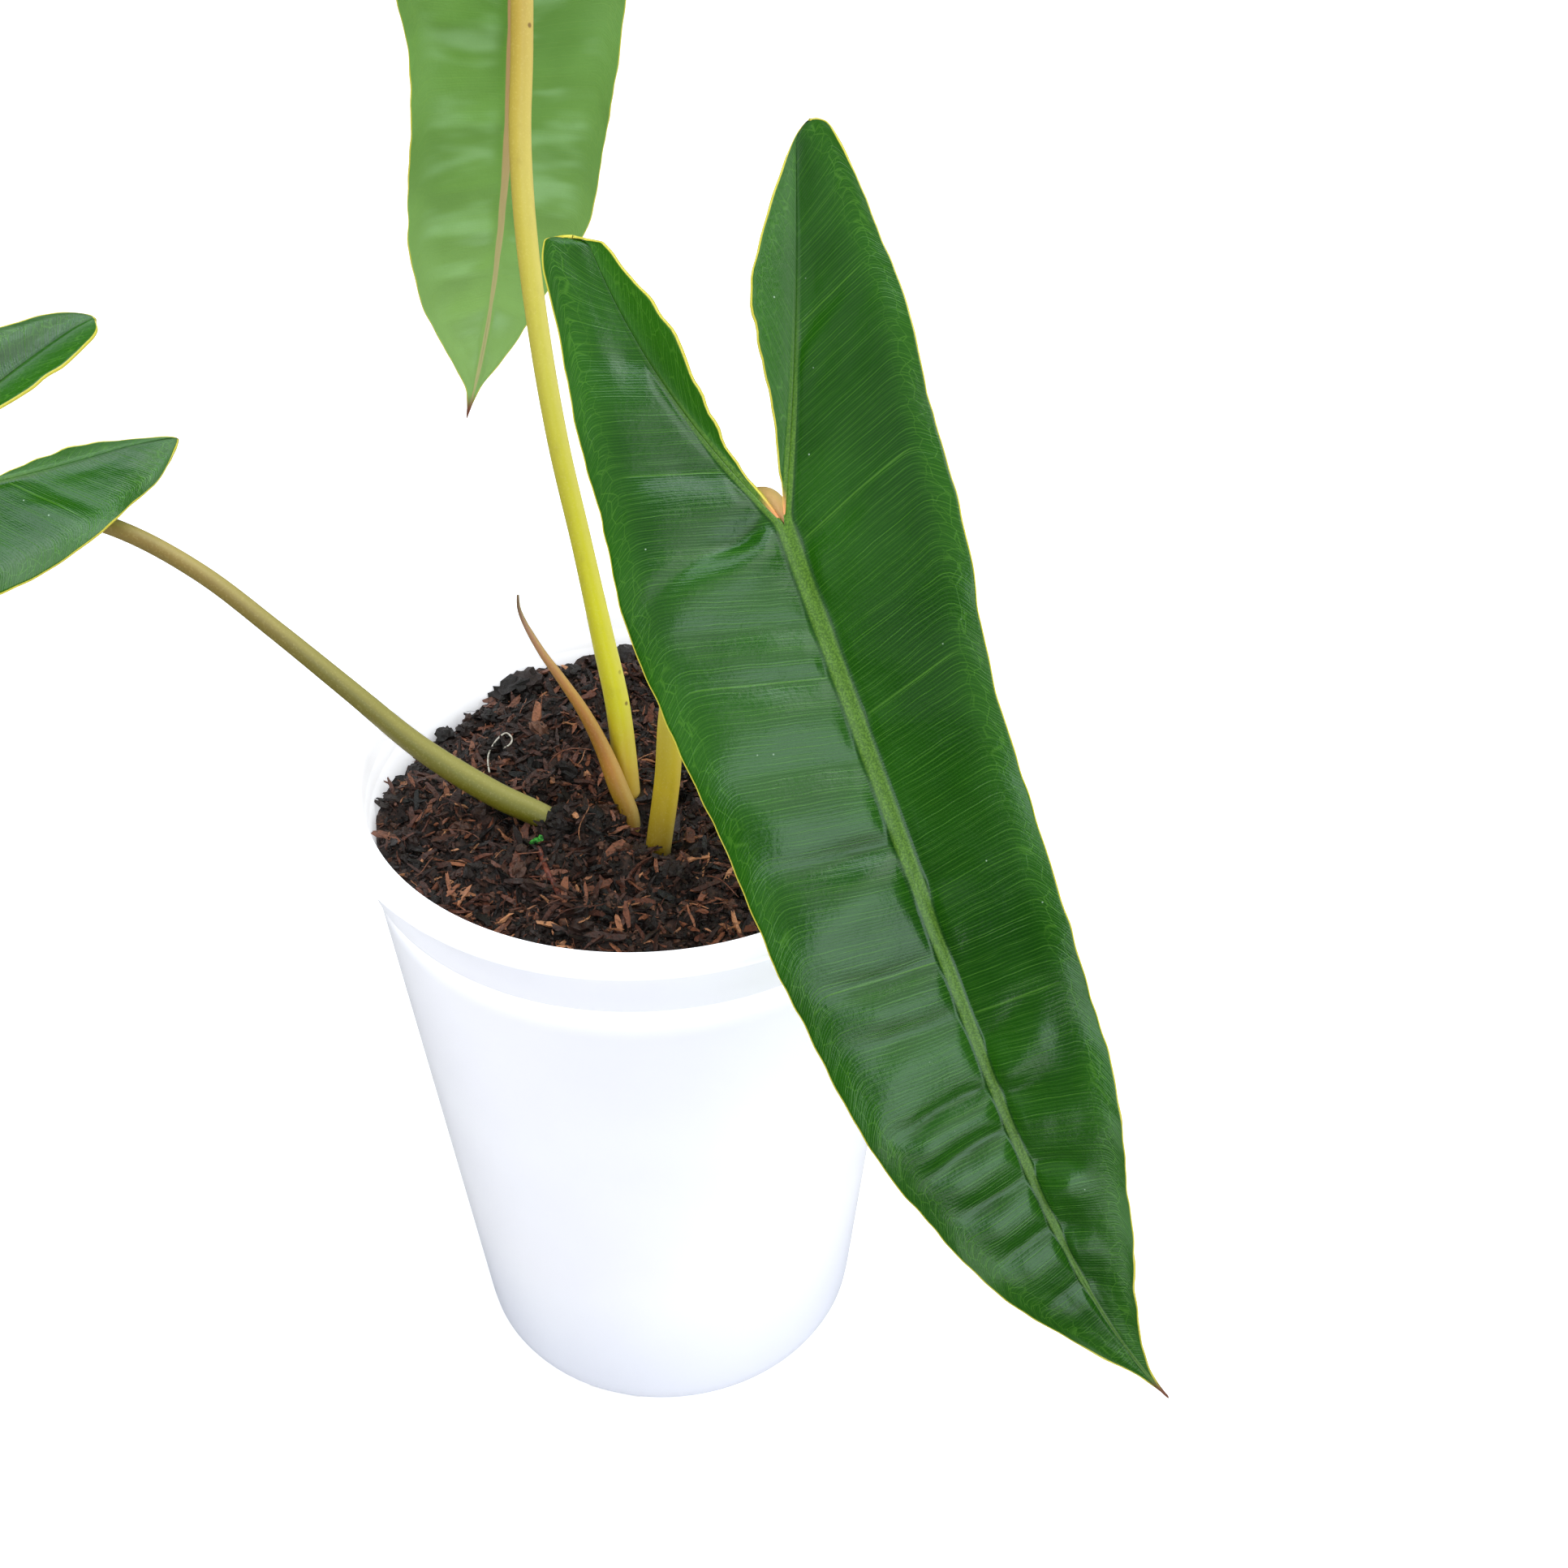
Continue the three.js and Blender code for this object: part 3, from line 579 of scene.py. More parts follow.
def scatterTree():
    g = Grower("strew", {
        "Shapes": "Collection", "Density": "Float", "Seed": "Int", "Smallest": "Float", "Largest": "Float",
        "Lean": "Float", "Sink": "Float", "Finish": "Material"})
    seed = g.given("Seed")
    points = g.node("GeometryNodeDistributePointsOnFaces", None, {
        "Mesh": g.given("Geometry"), "Density": g.given("Density"), "Seed": seed,
        "Selection": g.node("GeometryNodeInputNamedAttribute", None, {"Name": "open"})})
    drop = g.vector(0.0, 0.0, g.given("Sink") * -1)
    points = g.node("GeometryNodeSetPosition", None, {"Geometry": points, "Offset": drop})

    def chance(low, high, shift):
        values = {2: low, 3: high, "Seed": seed + shift}
        return g.node("FunctionNodeRandomValue", {"data_type": "FLOAT"}, values, 1)

    lean = g.given("Lean")
    turn = g.vector(chance(lean * -1, lean, 11), chance(lean * -1, lean, 12), chance(0.0, 2 * math.pi, 13))
    turn = g.node("FunctionNodeEulerToRotation", None, {0: turn})
    size = g.given("Smallest") + (g.given("Largest") - g.given("Smallest")) * chance(0.0, 1.0, 14) ** 2.2
    stretch = g.vector(size, size * chance(0.75, 1.2, 15), size * chance(0.75, 1.2, 16))
    shapes = g.node("GeometryNodeCollectionInfo", None, {
        "Collection": g.given("Shapes"), "Separate Children": True, "Reset Children": True})
    strewn = g.node("GeometryNodeInstanceOnPoints", None, {
        "Points": points, "Instance": shapes, "Pick Instance": True, "Rotation": turn, "Scale": stretch})
    strewn = g.node("GeometryNodeStoreNamedAttribute", {"domain": "INSTANCE", "data_type": "FLOAT"}, {
        "Geometry": strewn, "Name": "tint", "Value": chance(0.0, 1.0, 17)})
    whole = g.node("GeometryNodeRealizeInstances", None, {0: strewn})
    g.close(g.node("GeometryNodeSetMaterial", None, {0: whole, "Material": g.given("Finish")}))
    return g


def shapeSet(name, shapes, finish):
    group = bpy.data.collections.new(name)
    for shape in shapes:
        shape.data.materials.append(finish)
        group.objects.link(shape)
    return group


strewnLabels = ("Density", "Seed", "Smallest", "Largest", "Lean", "Sink")
strewn = {
    "clods": (1.9e4, 2, 2.6 * mm, 6.5 * mm, 3.1, 0.5 * mm),
    "crumbs": (9.0e4, 3, 1.3 * mm, 3.2 * mm, 3.1, 0.1 * mm),
    "fineCrumbs": (5.5e5, 4, 0.5 * mm, 1.5 * mm, 3.1, -0.3 * mm),
    "shreds": (1.9e5, 5, 2.4 * mm, 9 * mm, 0.7, -0.55 * mm),
    "strands": (1.8e4, 8, 4 * mm, 12 * mm, 0.35, -0.8 * mm),
}
# single things that the photograph shows on the soil, by pixel; a clod has its size in mm, a chip its
# size, its turn in degrees and its tint
placed = {
    "middle": (700, 1000), "seed": 31, "chipLift": 1.1,
    "clods": [
        (634, 849, 9), (650, 843, 8), (620, 853, 8), (606, 886, 5), (705, 830, 5), (774, 812, 8),
        (575, 900, 5), (548, 909, 5), (524, 926, 5), (512, 952, 4), (688, 1020, 6), (694, 1012, 5),
        (684, 1028, 5), (684, 1008, 4), (690, 1001, 4), (830, 1075, 5), (790, 1050, 4)],
    "chips": [
        (572, 1108, 6, 70, 0.95), (560, 1100, 5, 60, 0.9), (700, 1172, 8, 5, 0.9), (735, 1098, 9, 40, 0.75),
        (868, 1108, 8, 70, 0.85), (765, 1026, 6, 35, 0.9), (858, 1062, 6, 20, 0.97), (600, 1120, 7, 100, 0.7),
        (628, 975, 7, 170, 0.75), (810, 1060, 6, 140, 0.6)],
    "moss": (661, 1040),
}
threads = {  # pixels, radius and lift in mm; the look is a name, two tones, a roughness and a grain
    "redTwig": {
        "line": [
            (663, 1046), (668, 1060), (675, 1078), (683, 1094), (690, 1106)], "radius": 0.75, "lift": 0.9,
        "look": ("red twig", (58, 26, 20), (116, 60, 46), 0.5, 800)},
    "curledFibre": {
        "line": [
            (604, 960), (602, 946), (606, 930), (614, 918), (624, 911), (631, 916), (629, 925), (621, 930)],
        "radius": 0.24, "lift": 2.0, "look": ("pale fibre", (150, 142, 128), (206, 200, 188), 0.3, 500)},
}
mossLook = ("moss", (24, 96, 22), (62, 156, 48), 0.6, 900)


def pressIn(piece):  # what would stick into the pot's wall is pressed against its inside
    points = np.array([v.co for v in piece.data.vertices])
    reach = np.maximum(np.hypot(points[:, 0], points[:, 1]), mm)
    most = (insideRadius(points[:, 2] / mm) - soil["pressGap"]) * mm
    points[:, :2] *= np.minimum(1, most / reach)[:, None]
    piece.data.vertices.foreach_set("co", points.ravel())
    piece.data.update()
    return piece


def placeSingles(mound, shapes, crumb, bark):
    top = mound.data
    surface = BVHTree.FromPolygons([v.co for v in top.vertices], [p.vertices for p in top.polygons])
    eye = Vector(view["place"])
    draw = random.Random(placed["seed"])

    def onSoil(px, py, lift=0.0):  # where the pixel's line meets the mound, moved inwards if it just misses
        hit = None
        while hit is None:
            hit = surface.ray_cast(eye, sightLine(px, py))[0]
            px, py = (p + 0.02 * (middle - p) for p, middle in zip((px, py), placed["middle"]))
        return hit + Vector((0, 0, lift * mm))

    def gather(name, parts, finish, tints):
        form = bmesh.new()
        tint = form.verts.layers.float.new("tint")
        for (mesh, place), value in zip(parts, tints):
            start = len(form.verts)
            form.from_mesh(mesh)
            form.verts.ensure_lookup_table()
            for v in form.verts[start:]:
                v.co = place @ v.co
                v[tint] = value
        merged = formMesh(form, name)
        merged.materials.clear()
        merged.materials.append(finish)
        handOver(pressIn(addObject(name, merged)), "potting_mix")

    def turned(spot, size, lean, turn):
        spin = Matrix.Rotation(math.radians(turn), 4, "Z") @ Matrix.Rotation(lean, 4, "Y")
        return Matrix.Translation(spot) @ spin @ Matrix.Scale(size * mm, 4)

    parts = []
    for i, (px, py, size) in enumerate(placed["clods"]):
        spot = onSoil(px, py, 0.12 * size)
        parts.append((shapes["clods"][i % 4].data, turned(spot, size, draw.uniform(-0.5, 0.5), 40 * i)))
    gather("bigClods", parts, crumb, [draw.uniform(0.1, 0.5) for part in parts])
    parts = []
    for i, (px, py, size, turn, tint) in enumerate(placed["chips"]):
        spot = onSoil(px, py, placed["chipLift"])
        parts.append((shapes["shreds"][2 + i % 4].data, turned(spot, size, draw.uniform(-0.2, 0.2), turn)))
    gather("barkChips", parts, bark, [chip[4] for chip in placed["chips"]])
    for name, thread in threads.items():
        line = smoothPath([onSoil(px, py, thread["lift"]) / mm for px, py in thread["line"]], 0.5)
        points, faces = tubeMesh([tuple(p) for p in line], thread["radius"], 8)
        piece = addMesh(name, np.array(points) * mm, faces, mottled(*thread["look"]))
        handOver(piece, "potting_mix")
    spot = onSoil(*placed["moss"], 1.0)
    parts = []
    for i in range(6):
        strayed = spot + Vector((draw.uniform(-1, 1), draw.uniform(-1, 1), 0)) * mm
        parts.append((shapes["crumbs"][i % 5].data, turned(strayed, draw.uniform(0.9, 1.6), i, 60 * i)))
    gather("mossBit", parts, mottled(*mossLook), [0.5] * 6)


def mottled(name, dark, light, rough, scale):  # a small natural thing in two tones
    s = Finish(name)
    mottle = s.noise(s.place, scale, 3, 0.6)
    return s.done({"Base Color": s.mix(mottle.rise(0.35, 0.65), dark, light), "Roughness": rough,
                   "Normal": s.bump(mottle, 0.0003, 0.7)})


def buildSoil():
    spokes, rings = soil["spokes"], soil["rings"]
    bottom = pot["floor"] + soil["gap"]
    shoulder = bottom + pot["floorRound"]
    edge = insideRadius(soil["level"] - dip["depth"] - soil["lump"]) - soil["gap"]
    angles = np.arange(spokes) * 2 * math.pi / spokes
    points = [(0, 0, bottom)]
    for radius, z in ((insideRadius(bottom) - pot["floorRound"] - soil["gap"], bottom),
                      (insideRadius(shoulder) - soil["gap"], shoulder)):
        points += [(radius * math.cos(a), radius * math.sin(a), z) for a in angles]
    for i in range(rings):
        radius = edge * (1 - i / rings)
        for a in angles:
            x, y = radius * math.cos(a), radius * math.sin(a)
            points.append((x, y, float(soilHeight(x, y)) + clods(x, y)))
    points.append((0, 0, float(soilHeight(0, 0)) + clods(0, 0)))
    faces = [[0, 1 + (j + 1) % spokes, 1 + j] for j in range(spokes)]
    faces += bandFaces(1, rings + 1, spokes)
    last = 1 + (rings + 1) * spokes
    faces += [[last + j, last + (j + 1) % spokes, len(points) - 1] for j in range(spokes)]
    points = np.array(points) * mm
    mound = addMesh("soilMound", points, faces, soilFinish())
    radius = np.hypot(points[:, 0], points[:, 1])
    onTop = points[:, 2] > soil["openFrom"] * mm
    putValues(mound.data, "open", onTop & (radius < (edge - soil["openEdge"]) * mm))
    shapes = {
        "clods": [lump(f"clod{i}", 40 + i, 0.6 + 0.1 * i, 3) for i in range(4)],
        "crumbs": [lump(f"crumb{i}", i, 0.6 + 0.1 * i, 1) for i in range(5)],
        "fineCrumbs": [lump(f"grain{i}", 20 + i, 0.6 + 0.1 * i, 0) for i in range(5)],
        "shreds": [shred(f"shred{i}", i, 0.1 + 0.03 * i, 0.07) for i in range(6)],
        "strands": [strand(f"strand{i}", i) for i in range(5)],
    }
    crumb, bark = crumbFinish(), shredFinish()
    tree = scatterTree()
    for name, forms in shapes.items():
        finish = bark if name in ("shreds", "strands") else crumb
        values = dict(zip(strewnLabels, strewn[name]))
        values |= {"Shapes": shapeSet(name + " shapes", forms, finish), "Finish": finish}
        cover = tree.grow(mound, name, values)
        handOver(pressIn(cover), "potting_mix")
        print(name, len(cover.data.polygons), "faces")
    placeSingles(mound, shapes, crumb, bark)
    handOver(mound, "potting_mix", "soil")


# Blades: the leaf's outline, fold and droop, with its ribs, side veins and quilting raised on it.
# All sizes are mm. y runs along the midrib from the sinus to the tip, x away from it, and each half has its
# widths at shares of the lobe's and the blade's length. A vein is its start on the rib, its depth, the
# swelling beside it, its breadth and, if it bends, its sweep.
lobeShares = [-1, -0.75, -0.45, -0.15]
bladeShares = [0.06, 0.22, 0.42, 0.6, 0.77, 0.86, 0.93, 0.965, 1]
blade = {
    "thickness": 0.7, "fold": 17, "innerFold": 35, "crown": 0.001, "soft": 3, "lobeCurl": -5 / 80,
    "slantFrom": 0.7, "wave": 0.9, "waveLength": 41, "rollDown": 2.3, "rollWidth": 13, "innerRoll": 0.35,
    "ribRise": 1.3, "ribUp": 0.35, "seam": 0.16, "lobeRib": 1.3, "lobeTaper": 0.75,
    "lobeRows": 56, "rows": 200,
    # ragged margins, and where they fade
    "fray": 0.45, "innerFray": 0.9, "frayLength": 5.5, "lobeFade": 8, "tipFade": 25, "sinusFade": 12,
    "lobeEndFray": 0.9, "lobeEndLength": 3.2, "lobeEndReach": 6,
    # side veins and the swelling between them
    "undulation": 0.45, "narrow": 12, "innerLean": 2.0, "innerRipple": 0.12, "innerRippleLength": 2.1,
    "edgeSweep": 7, "sweepFrom": 12, "wander": 1.6, "pillowGap": 24, "widestGap": 60,
}
calmHalf = {"slant": 0, "spread": 0, "roll": 0.8, "pillow": 0.5, "reach": (0.5, 0.95), "lines": ()}


def alike(depth, swell, *places):  # side veins that differ only in where they start
    return [(at, depth, swell, 4) for at in places]


leaves = {
    "frontLeaf": {
        "node": "blade_1", "sinus": (34.3, -28.9, 267.3), "tipward": (0.339, -0.677, -0.653),
        "facing": (-0.182, -0.728, 0.661), "length": 210, "droop": 30, "bow": 6.4, "hook": -13.4, "wave": 0.3,
        "plus": {
            "lobe": 73, "round": 0.03, "slant": 5, "spread": 1.4, "roll": 1, "pillow": 1.1,
            "reach": (0.45, 0.95), "lines": (-15, 33.5, 96),
            "widths": [26, 29.5, 32.5, 34, 36, 33.5, 31, 27.1, 18.2, 11.1, 4.3, 1.3, 0],
            "rib": (35, -17), "inner": [15.5, 7.3, 5.8],
            "veins": [
                (-44, 0.3, 0.3, 6), (-15, 0.5, 0.8, 5), (3.6, 2.4, 1.8, 4, 0.6), (22, 0.4, 0.8, 5),
                (33.5, 0.9, 0.8, 5), (52, 0.3, 0.6, 6), (70.5, 1.3, 1.5, 5), (96, 1.3, 1.4, 4.4),
                (108, 0.5, 0.8, 4.5), (124.5, 1.4, 1.2, 3.6), (134.5, 1.1, 1.0, 3.6), (146, 0.8, 0.8, 3.8),
                (159, 0.5, 0.6, 3.8), (173, 0.3, 0.4, 3.5)],
        },
        "minus": {
            "lobe": 77.5, "round": 0.05, "slant": 0, "spread": 0.6, "roll": 0.6, "pillow": 0.2,
            "reach": (0.3, 0.68), "lines": (-38, 5, 43.4, 108.5),
            "widths": [38, 39, 39.5, 36.5, 34.5, 28.5, 26.5, 24, 15.2, 8.1, 2.7, 0.8, 0],
            "rib": (36, -4.5), "inner": [31.4, 10.4, 5.8],
            "veins": [
                (-38, 0.9, 1.0, 3.6, -0.3), (6, 1.0, 1.8, 5), (24, 0.2, 0.4, 5), (43.4, 0.4, 0.2, 3),
                (80, 1.0, 2.1, 5.4), (110.5, 1.0, 2.0, 5, -0.4), (126.5, 1.0, 1.7, 4.3),
                (143, 1.0, 1.7, 4.4), (160, 0.6, 0.8, 3.8), (174, 0.3, 0.4, 3)],
        },
    },
    "topLeaf": {
        "node": "blade_2", "sinus": (-26.7, 135, 444.2), "tipward": (-0.036, 0.046, -0.998),
        "facing": (-0.152, 0.987, 0.051), "length": 234, "droop": 9, "bow": -15.8, "hook": -8, "wave": 1.4,
        "plus": {
            "lobe": 80, "round": 0.14, **calmHalf,
            "widths": [25, 28, 31, 33, 34, 34, 31.5, 28, 24.2, 14.3, 6, 1.4, 0],
            "rib": (34, -12), "inner": [18, 9, 6],
            "veins": [
                *alike(0.3, 0.4, -40), *alike(0.5, 0.6, -3), *alike(0.3, 0.3, 22, 46, 70),
                *alike(0.35, 0.3, 93, 118), *alike(0.4, 0.4, 140, 158, 174, 188), *alike(0.3, 0.3, 201)],
        },
        "minus": {
            "lobe": 78, "round": 0.14, **calmHalf,
            "widths": [25, 27.5, 30.5, 32.5, 33.5, 34, 33.5, 25.7, 24.8, 18.7, 7.8, 2.2, 0],
            "rib": (34, -12), "inner": [18, 9, 6],
            "veins": [
                *alike(0.3, 0.4, -38), *alike(0.5, 0.6, -3), *alike(0.3, 0.3, 25, 52, 78),
                *alike(0.35, 0.3, 101), *alike(0.4, 0.4, 128, 152, 168, 180, 191), *alike(0.3, 0.3, 202)],
        },
    },
    "leftLeaf": {
        "node": "blade_3", "sinus": (-165.2, -9, 259.7), "tipward": (-0.671, -0.739, -0.07),
        "facing": (0.339, -0.389, 0.857), "length": 205, "droop": 44, "bow": 3, "hook": -6, "wave": 2.2,
        "plus": {
            "lobe": 70.5, "round": 0.2, **calmHalf, "reach": (0.45, 0.95), "lines": (-30, 20, 70),
            "widths": [23.2, 24.6, 29.4, 31.8, 32.6, 31.4, 30, 26.6, 18.6, 11.7, 4.8, 1.7, 0],
            "rib": (29, -11), "inner": [10.5, 6.8, 4.5],
            "veins": [
                *alike(0.4, 0.4, -36), *alike(0.5, 0.6, -3), *alike(0.4, 0.4, 24, 48),
                *alike(0.5, 0.5, 75, 98, 122, 143), *alike(0.4, 0.4, 162), *alike(0.3, 0.3, 178)],
        },
        "minus": {
            "lobe": 66.5, "round": 0.2, **calmHalf, "reach": (0.45, 0.95), "lines": (-28, 25, 75),
            "widths": [22.6, 28.6, 34, 35, 34, 32, 30, 26.6, 18.6, 11.7, 4.8, 1.7, 0],
            "rib": (22.5, -5), "inner": [16.6, 8.2, 6],
            "veins": [
                *alike(0.5, 0.5, -32), *alike(0.5, 0.6, -3), *alike(0.4, 0.4, 18, 42),
                *alike(0.5, 0.5, 66, 90, 113, 136), *alike(0.4, 0.4, 156), *alike(0.3, 0.3, 172)],
        },
    },
}
# how the side veins lean, and half the midrib's width in mm, from the sinus to the tip
veinLean = smoothThrough(
    [-1, -0.6, 0, 0.3, 0.5, 0.7, 0.85, 1], [-1.05, -0.42, -0.3, -0.2, -0.08, 0.16, 0.34, 0.8])
ribHalf = smoothThrough(
    [0, 0.33, 0.5, 0.67, 0.78, 0.86, 0.95, 1], [1.95, 1.75, 1.3, 1.05, 0.83, 0.52, 0.35, 0.2])


def bladeAxes(leaf):
    tipward = Vector(leaf["tipward"]).normalized()
    across = tipward.cross(Vector(leaf["facing"])).normalized()
    return np.array([across, tipward, across.cross(tipward)]), np.array(leaf["sinus"], float)


def bladeToWorld(leaf, points):
    axes, sinus = bladeAxes(leaf)
    return (np.asarray(points) @ axes + sinus) * mm


def bladePoint(leaf, sign, y, x, height):
    droop = np.where(y < 0, math.radians(blade["lobeCurl"]), math.radians(leaf["droop"]) / leaf["length"])
    share = np.maximum(y, 0) / leaf["length"]
    sway = leaf["bow"] * share**2 + leaf["hook"] * share**6
    turn = droop * y
    return np.stack([sign * x + sway, np.sin(turn) / droop + height * np.sin(turn),
                     -(1 - np.cos(turn)) / droop + height * np.cos(turn)], axis=-1)


class BladeHalf:  # where one half's margin, rib and inner margin run
    def __init__(self, leaf, half):
        self.lobe = half["lobe"]
        self.round = half["round"] * self.lobe
        self.end = (half["widths"][0] + half["inner"][0]) / 2
        stations = [s * self.lobe for s in lobeShares] + [s * leaf["length"] for s in bladeShares]
        self.widthAt = smoothThrough(stations, half["widths"])
        self.innerAt = smoothThrough([-self.lobe, -0.6 * self.lobe, -0.3 * self.lobe, 0], [*half["inner"], 0])
        self.ribs = half["rib"]
        self.slant = half["slant"]
        self.corner = half["widths"][0]

    def rounded(self, y, x):
        t = np.clip((y + self.lobe) / self.round, 0, 1)
        return self.end + (x - self.end) * np.sqrt(1 - (1 - t) ** 2)

    def outer(self, y):
        return self.rounded(y, self.widthAt(y))

    def inner(self, y):
        return self.rounded(y, self.innerAt(y))

    def rib(self, y):
        share = np.maximum(-y, 0) / self.lobe
        return self.rounded(y, self.ribs[0] * share + self.ribs[1] * share**2)

    def slanted(self, y, x):
        outward = np.maximum(0, (x - sum(self.ribs)) / (self.corner - sum(self.ribs)))
        return y - self.slant * outward * smoothStep(-y / self.lobe, blade["slantFrom"], 1)


def softRise(d):
    return np.sqrt(d * d + blade["soft"] ** 2) - blade["soft"]


def steepness(line, y):
    return (line(y + 0.25) - line(y - 0.25)) / 0.5


def smoothStep(x, low, high):
    t = np.clip((x - low) / (high - low), 0, 1)
    return t * t * (3 - 2 * t)


def veinField(leaf, run, y, d, share):  # how far along the rib the side vein through a point starts
    k = np.where(y < 0, y / run.lobe, y / leaf["length"])
    return y - veinLean(k) * d - blade["edgeSweep"] * smoothStep(share, 0.72, 1.05) ** 2


def ripple(x, y, z):
    return np.vectorize(lambda a, b, c: noise.noise(Vector((a, b, c))))(x, y, z)


def quilting(half, along, d, share, sign):  # side veins sunk a little, the blade swelling beside each
    fade = smoothStep(share, 0.01, 0.13) * (1 - smoothStep(share, *half["reach"]))
    relief = np.zeros(np.broadcast(along, share).shape)
    for at, depth, swell, spread, *sweep in half["veins"]:
        away = along - at - (sweep[0] * (d - blade["sweepFrom"]) if sweep else 0)
        away = away - blade["wander"] * ripple(d / 9, at * 0.7, 1.5)
        uneven = 0.75 + 0.7 * ripple(d / 10, at * 0.37, 4.5 * sign)
        relief -= depth * uneven * np.exp(-((away / (0.5 * spread)) ** 2))
        relief += swell * uneven * np.exp(-((away / spread - 1.5) ** 2))
    stations = np.array([-110, *[vein[0] for vein in half["veins"]], 230], float)
    i = np.clip(np.searchsorted(stations, along, side="right") - 1, 0, len(stations) - 2)
    gap = stations[i + 1] - stations[i]
    pillow = 1 - np.minimum(1, np.abs(2 * (along - stations[i]) / gap - 1)) ** 2
    swelling = np.minimum(gap, blade["pillowGap"]) / blade["pillowGap"] * (gap < blade["widestGap"])
    relief += half["pillow"] * swelling * pillow
    fine = ripple(along / 4.5, share * 5, 5.0 * sign) * 0.35 + ripple(along / 11, share * 2.2, 9.0 * sign)
    return relief * fade + blade["undulation"] * fine * smoothStep(share, 0.02, 0.2)


def sideVein(half, along):  # 0 on each main side vein, growing by 1 for each mm away from it
    places = np.array([-150, *half["lines"], 290], float)
    i = np.clip(np.searchsorted(places, along, side="right") - 1, 0, len(places) - 2)
    gap = places[i + 1] - places[i]
    return gap / math.pi * np.sin(math.pi * (along - places[i]) / gap) * (1 - 2 * (i % 2))


def bladeStrip(leaf, half, run, sign, ys, shares, inner):
    y, share = np.meshgrid(ys, shares, indexing="ij")
    rib = run.rib(y)
    line = run.inner if inner else run.outer
    margin = line(y)
    x = rib + (margin - rib) * share
    d = np.abs(x - rib)
    lobeFade = smoothStep(y + run.lobe, 0, blade["lobeFade"])
    endFade = lobeFade * smoothStep(leaf["length"] - y, 0, blade["tipFade"])
    fray = blade["innerFray"] * smoothStep(-y, 0, blade["sinusFade"]) if inner else blade["fray"]
    x = x + fray * endFade * share**3 * ripple(y / blade["frayLength"], 3.0 + sign, 7.0 * inner + 0.3)
    x = x + (0 if inner else half["spread"]) * endFade * share**3
    lobeShare = np.maximum(-y, 0) / run.lobe
    tipShare = np.maximum(y, 0) / leaf["length"]
    fade = np.minimum(1, np.abs(margin - rib) / blade["narrow"])
    if inner:
        height = math.tan(math.radians(blade["innerFold"])) * softRise(x - rib)
        along = y + blade["innerLean"] * d
        height = height + blade["innerRipple"] * np.sin(along / blade["innerRippleLength"]) * fade * share
    else:
        along = veinField(leaf, run, y, d, share)
        height = math.tan(math.radians(blade["fold"])) * softRise(x - rib) - blade["crown"] * (x - rib) ** 2
        wave = np.sin(2 * math.pi * y / blade["waveLength"] + leaf["wave"] + sign)
        height = height + blade["wave"] * share**2 * wave * fade
        height = height + quilting(half, along, d, share, sign) * fade
    edgeAway = np.abs(margin - rib) * (1 - share) / np.sqrt(1 + steepness(line, y) ** 2)
    roll = blade["rollDown"] * (blade["innerRoll"] if inner else half["roll"])
    height = height - roll * np.maximum(0, 1 - edgeAway / blade["rollWidth"]) ** 3 * fade
    band = np.where(y < 0, blade["lobeRib"] * (1 - blade["lobeTaper"] * lobeShare), ribHalf(tipShare))
    ribAway = d / np.sqrt(1 + steepness(run.rib, y) ** 2) / band
    atLobeEnd = blade["lobeEndFray"] * (1 - smoothStep(y + run.lobe, 0, blade["lobeEndReach"]))
    ragged = run.slanted(y, x) + atLobeEnd * ripple(x / blade["lobeEndLength"], 2.5 * sign, 0.5)
    apart = 0 if sign > 0 else 60  # the two halves take their colour noise from different places
    return {
        "points": bladePoint(leaf, sign, ragged, x, height), "band": ribAway, "edge": edgeAway,
        "lobeward": lobeShare, "tip": tipShare, "rise": band / 1.9 * (1 - 0.8 * lobeShare),
        "veins": np.stack([along, d + apart], axis=-1), "side": sideVein(half, along),
        "inner": np.full(y.shape, float(inner)), "sinus": np.hypot(x, y),
    }


def stackStrips(strips):
    faces, start = [], 0
    for grid, flip in strips:
        rows, columns = grid["band"].shape
        index = start + np.arange(rows * columns).reshape(rows, columns)
        quads = np.stack([index[:-1, :-1], index[:-1, 1:], index[1:, 1:], index[1:, :-1]], axis=-1)
        quads = quads.reshape(-1, 4)
        faces.append(quads[:, ::-1] if flip else quads)
        start += rows * columns
    values = {key: np.concatenate([grid[key].reshape(-1, *grid[key].shape[2:]) for grid, flip in strips])
              for key in strips[0][0]}
    return values, np.vstack(faces)


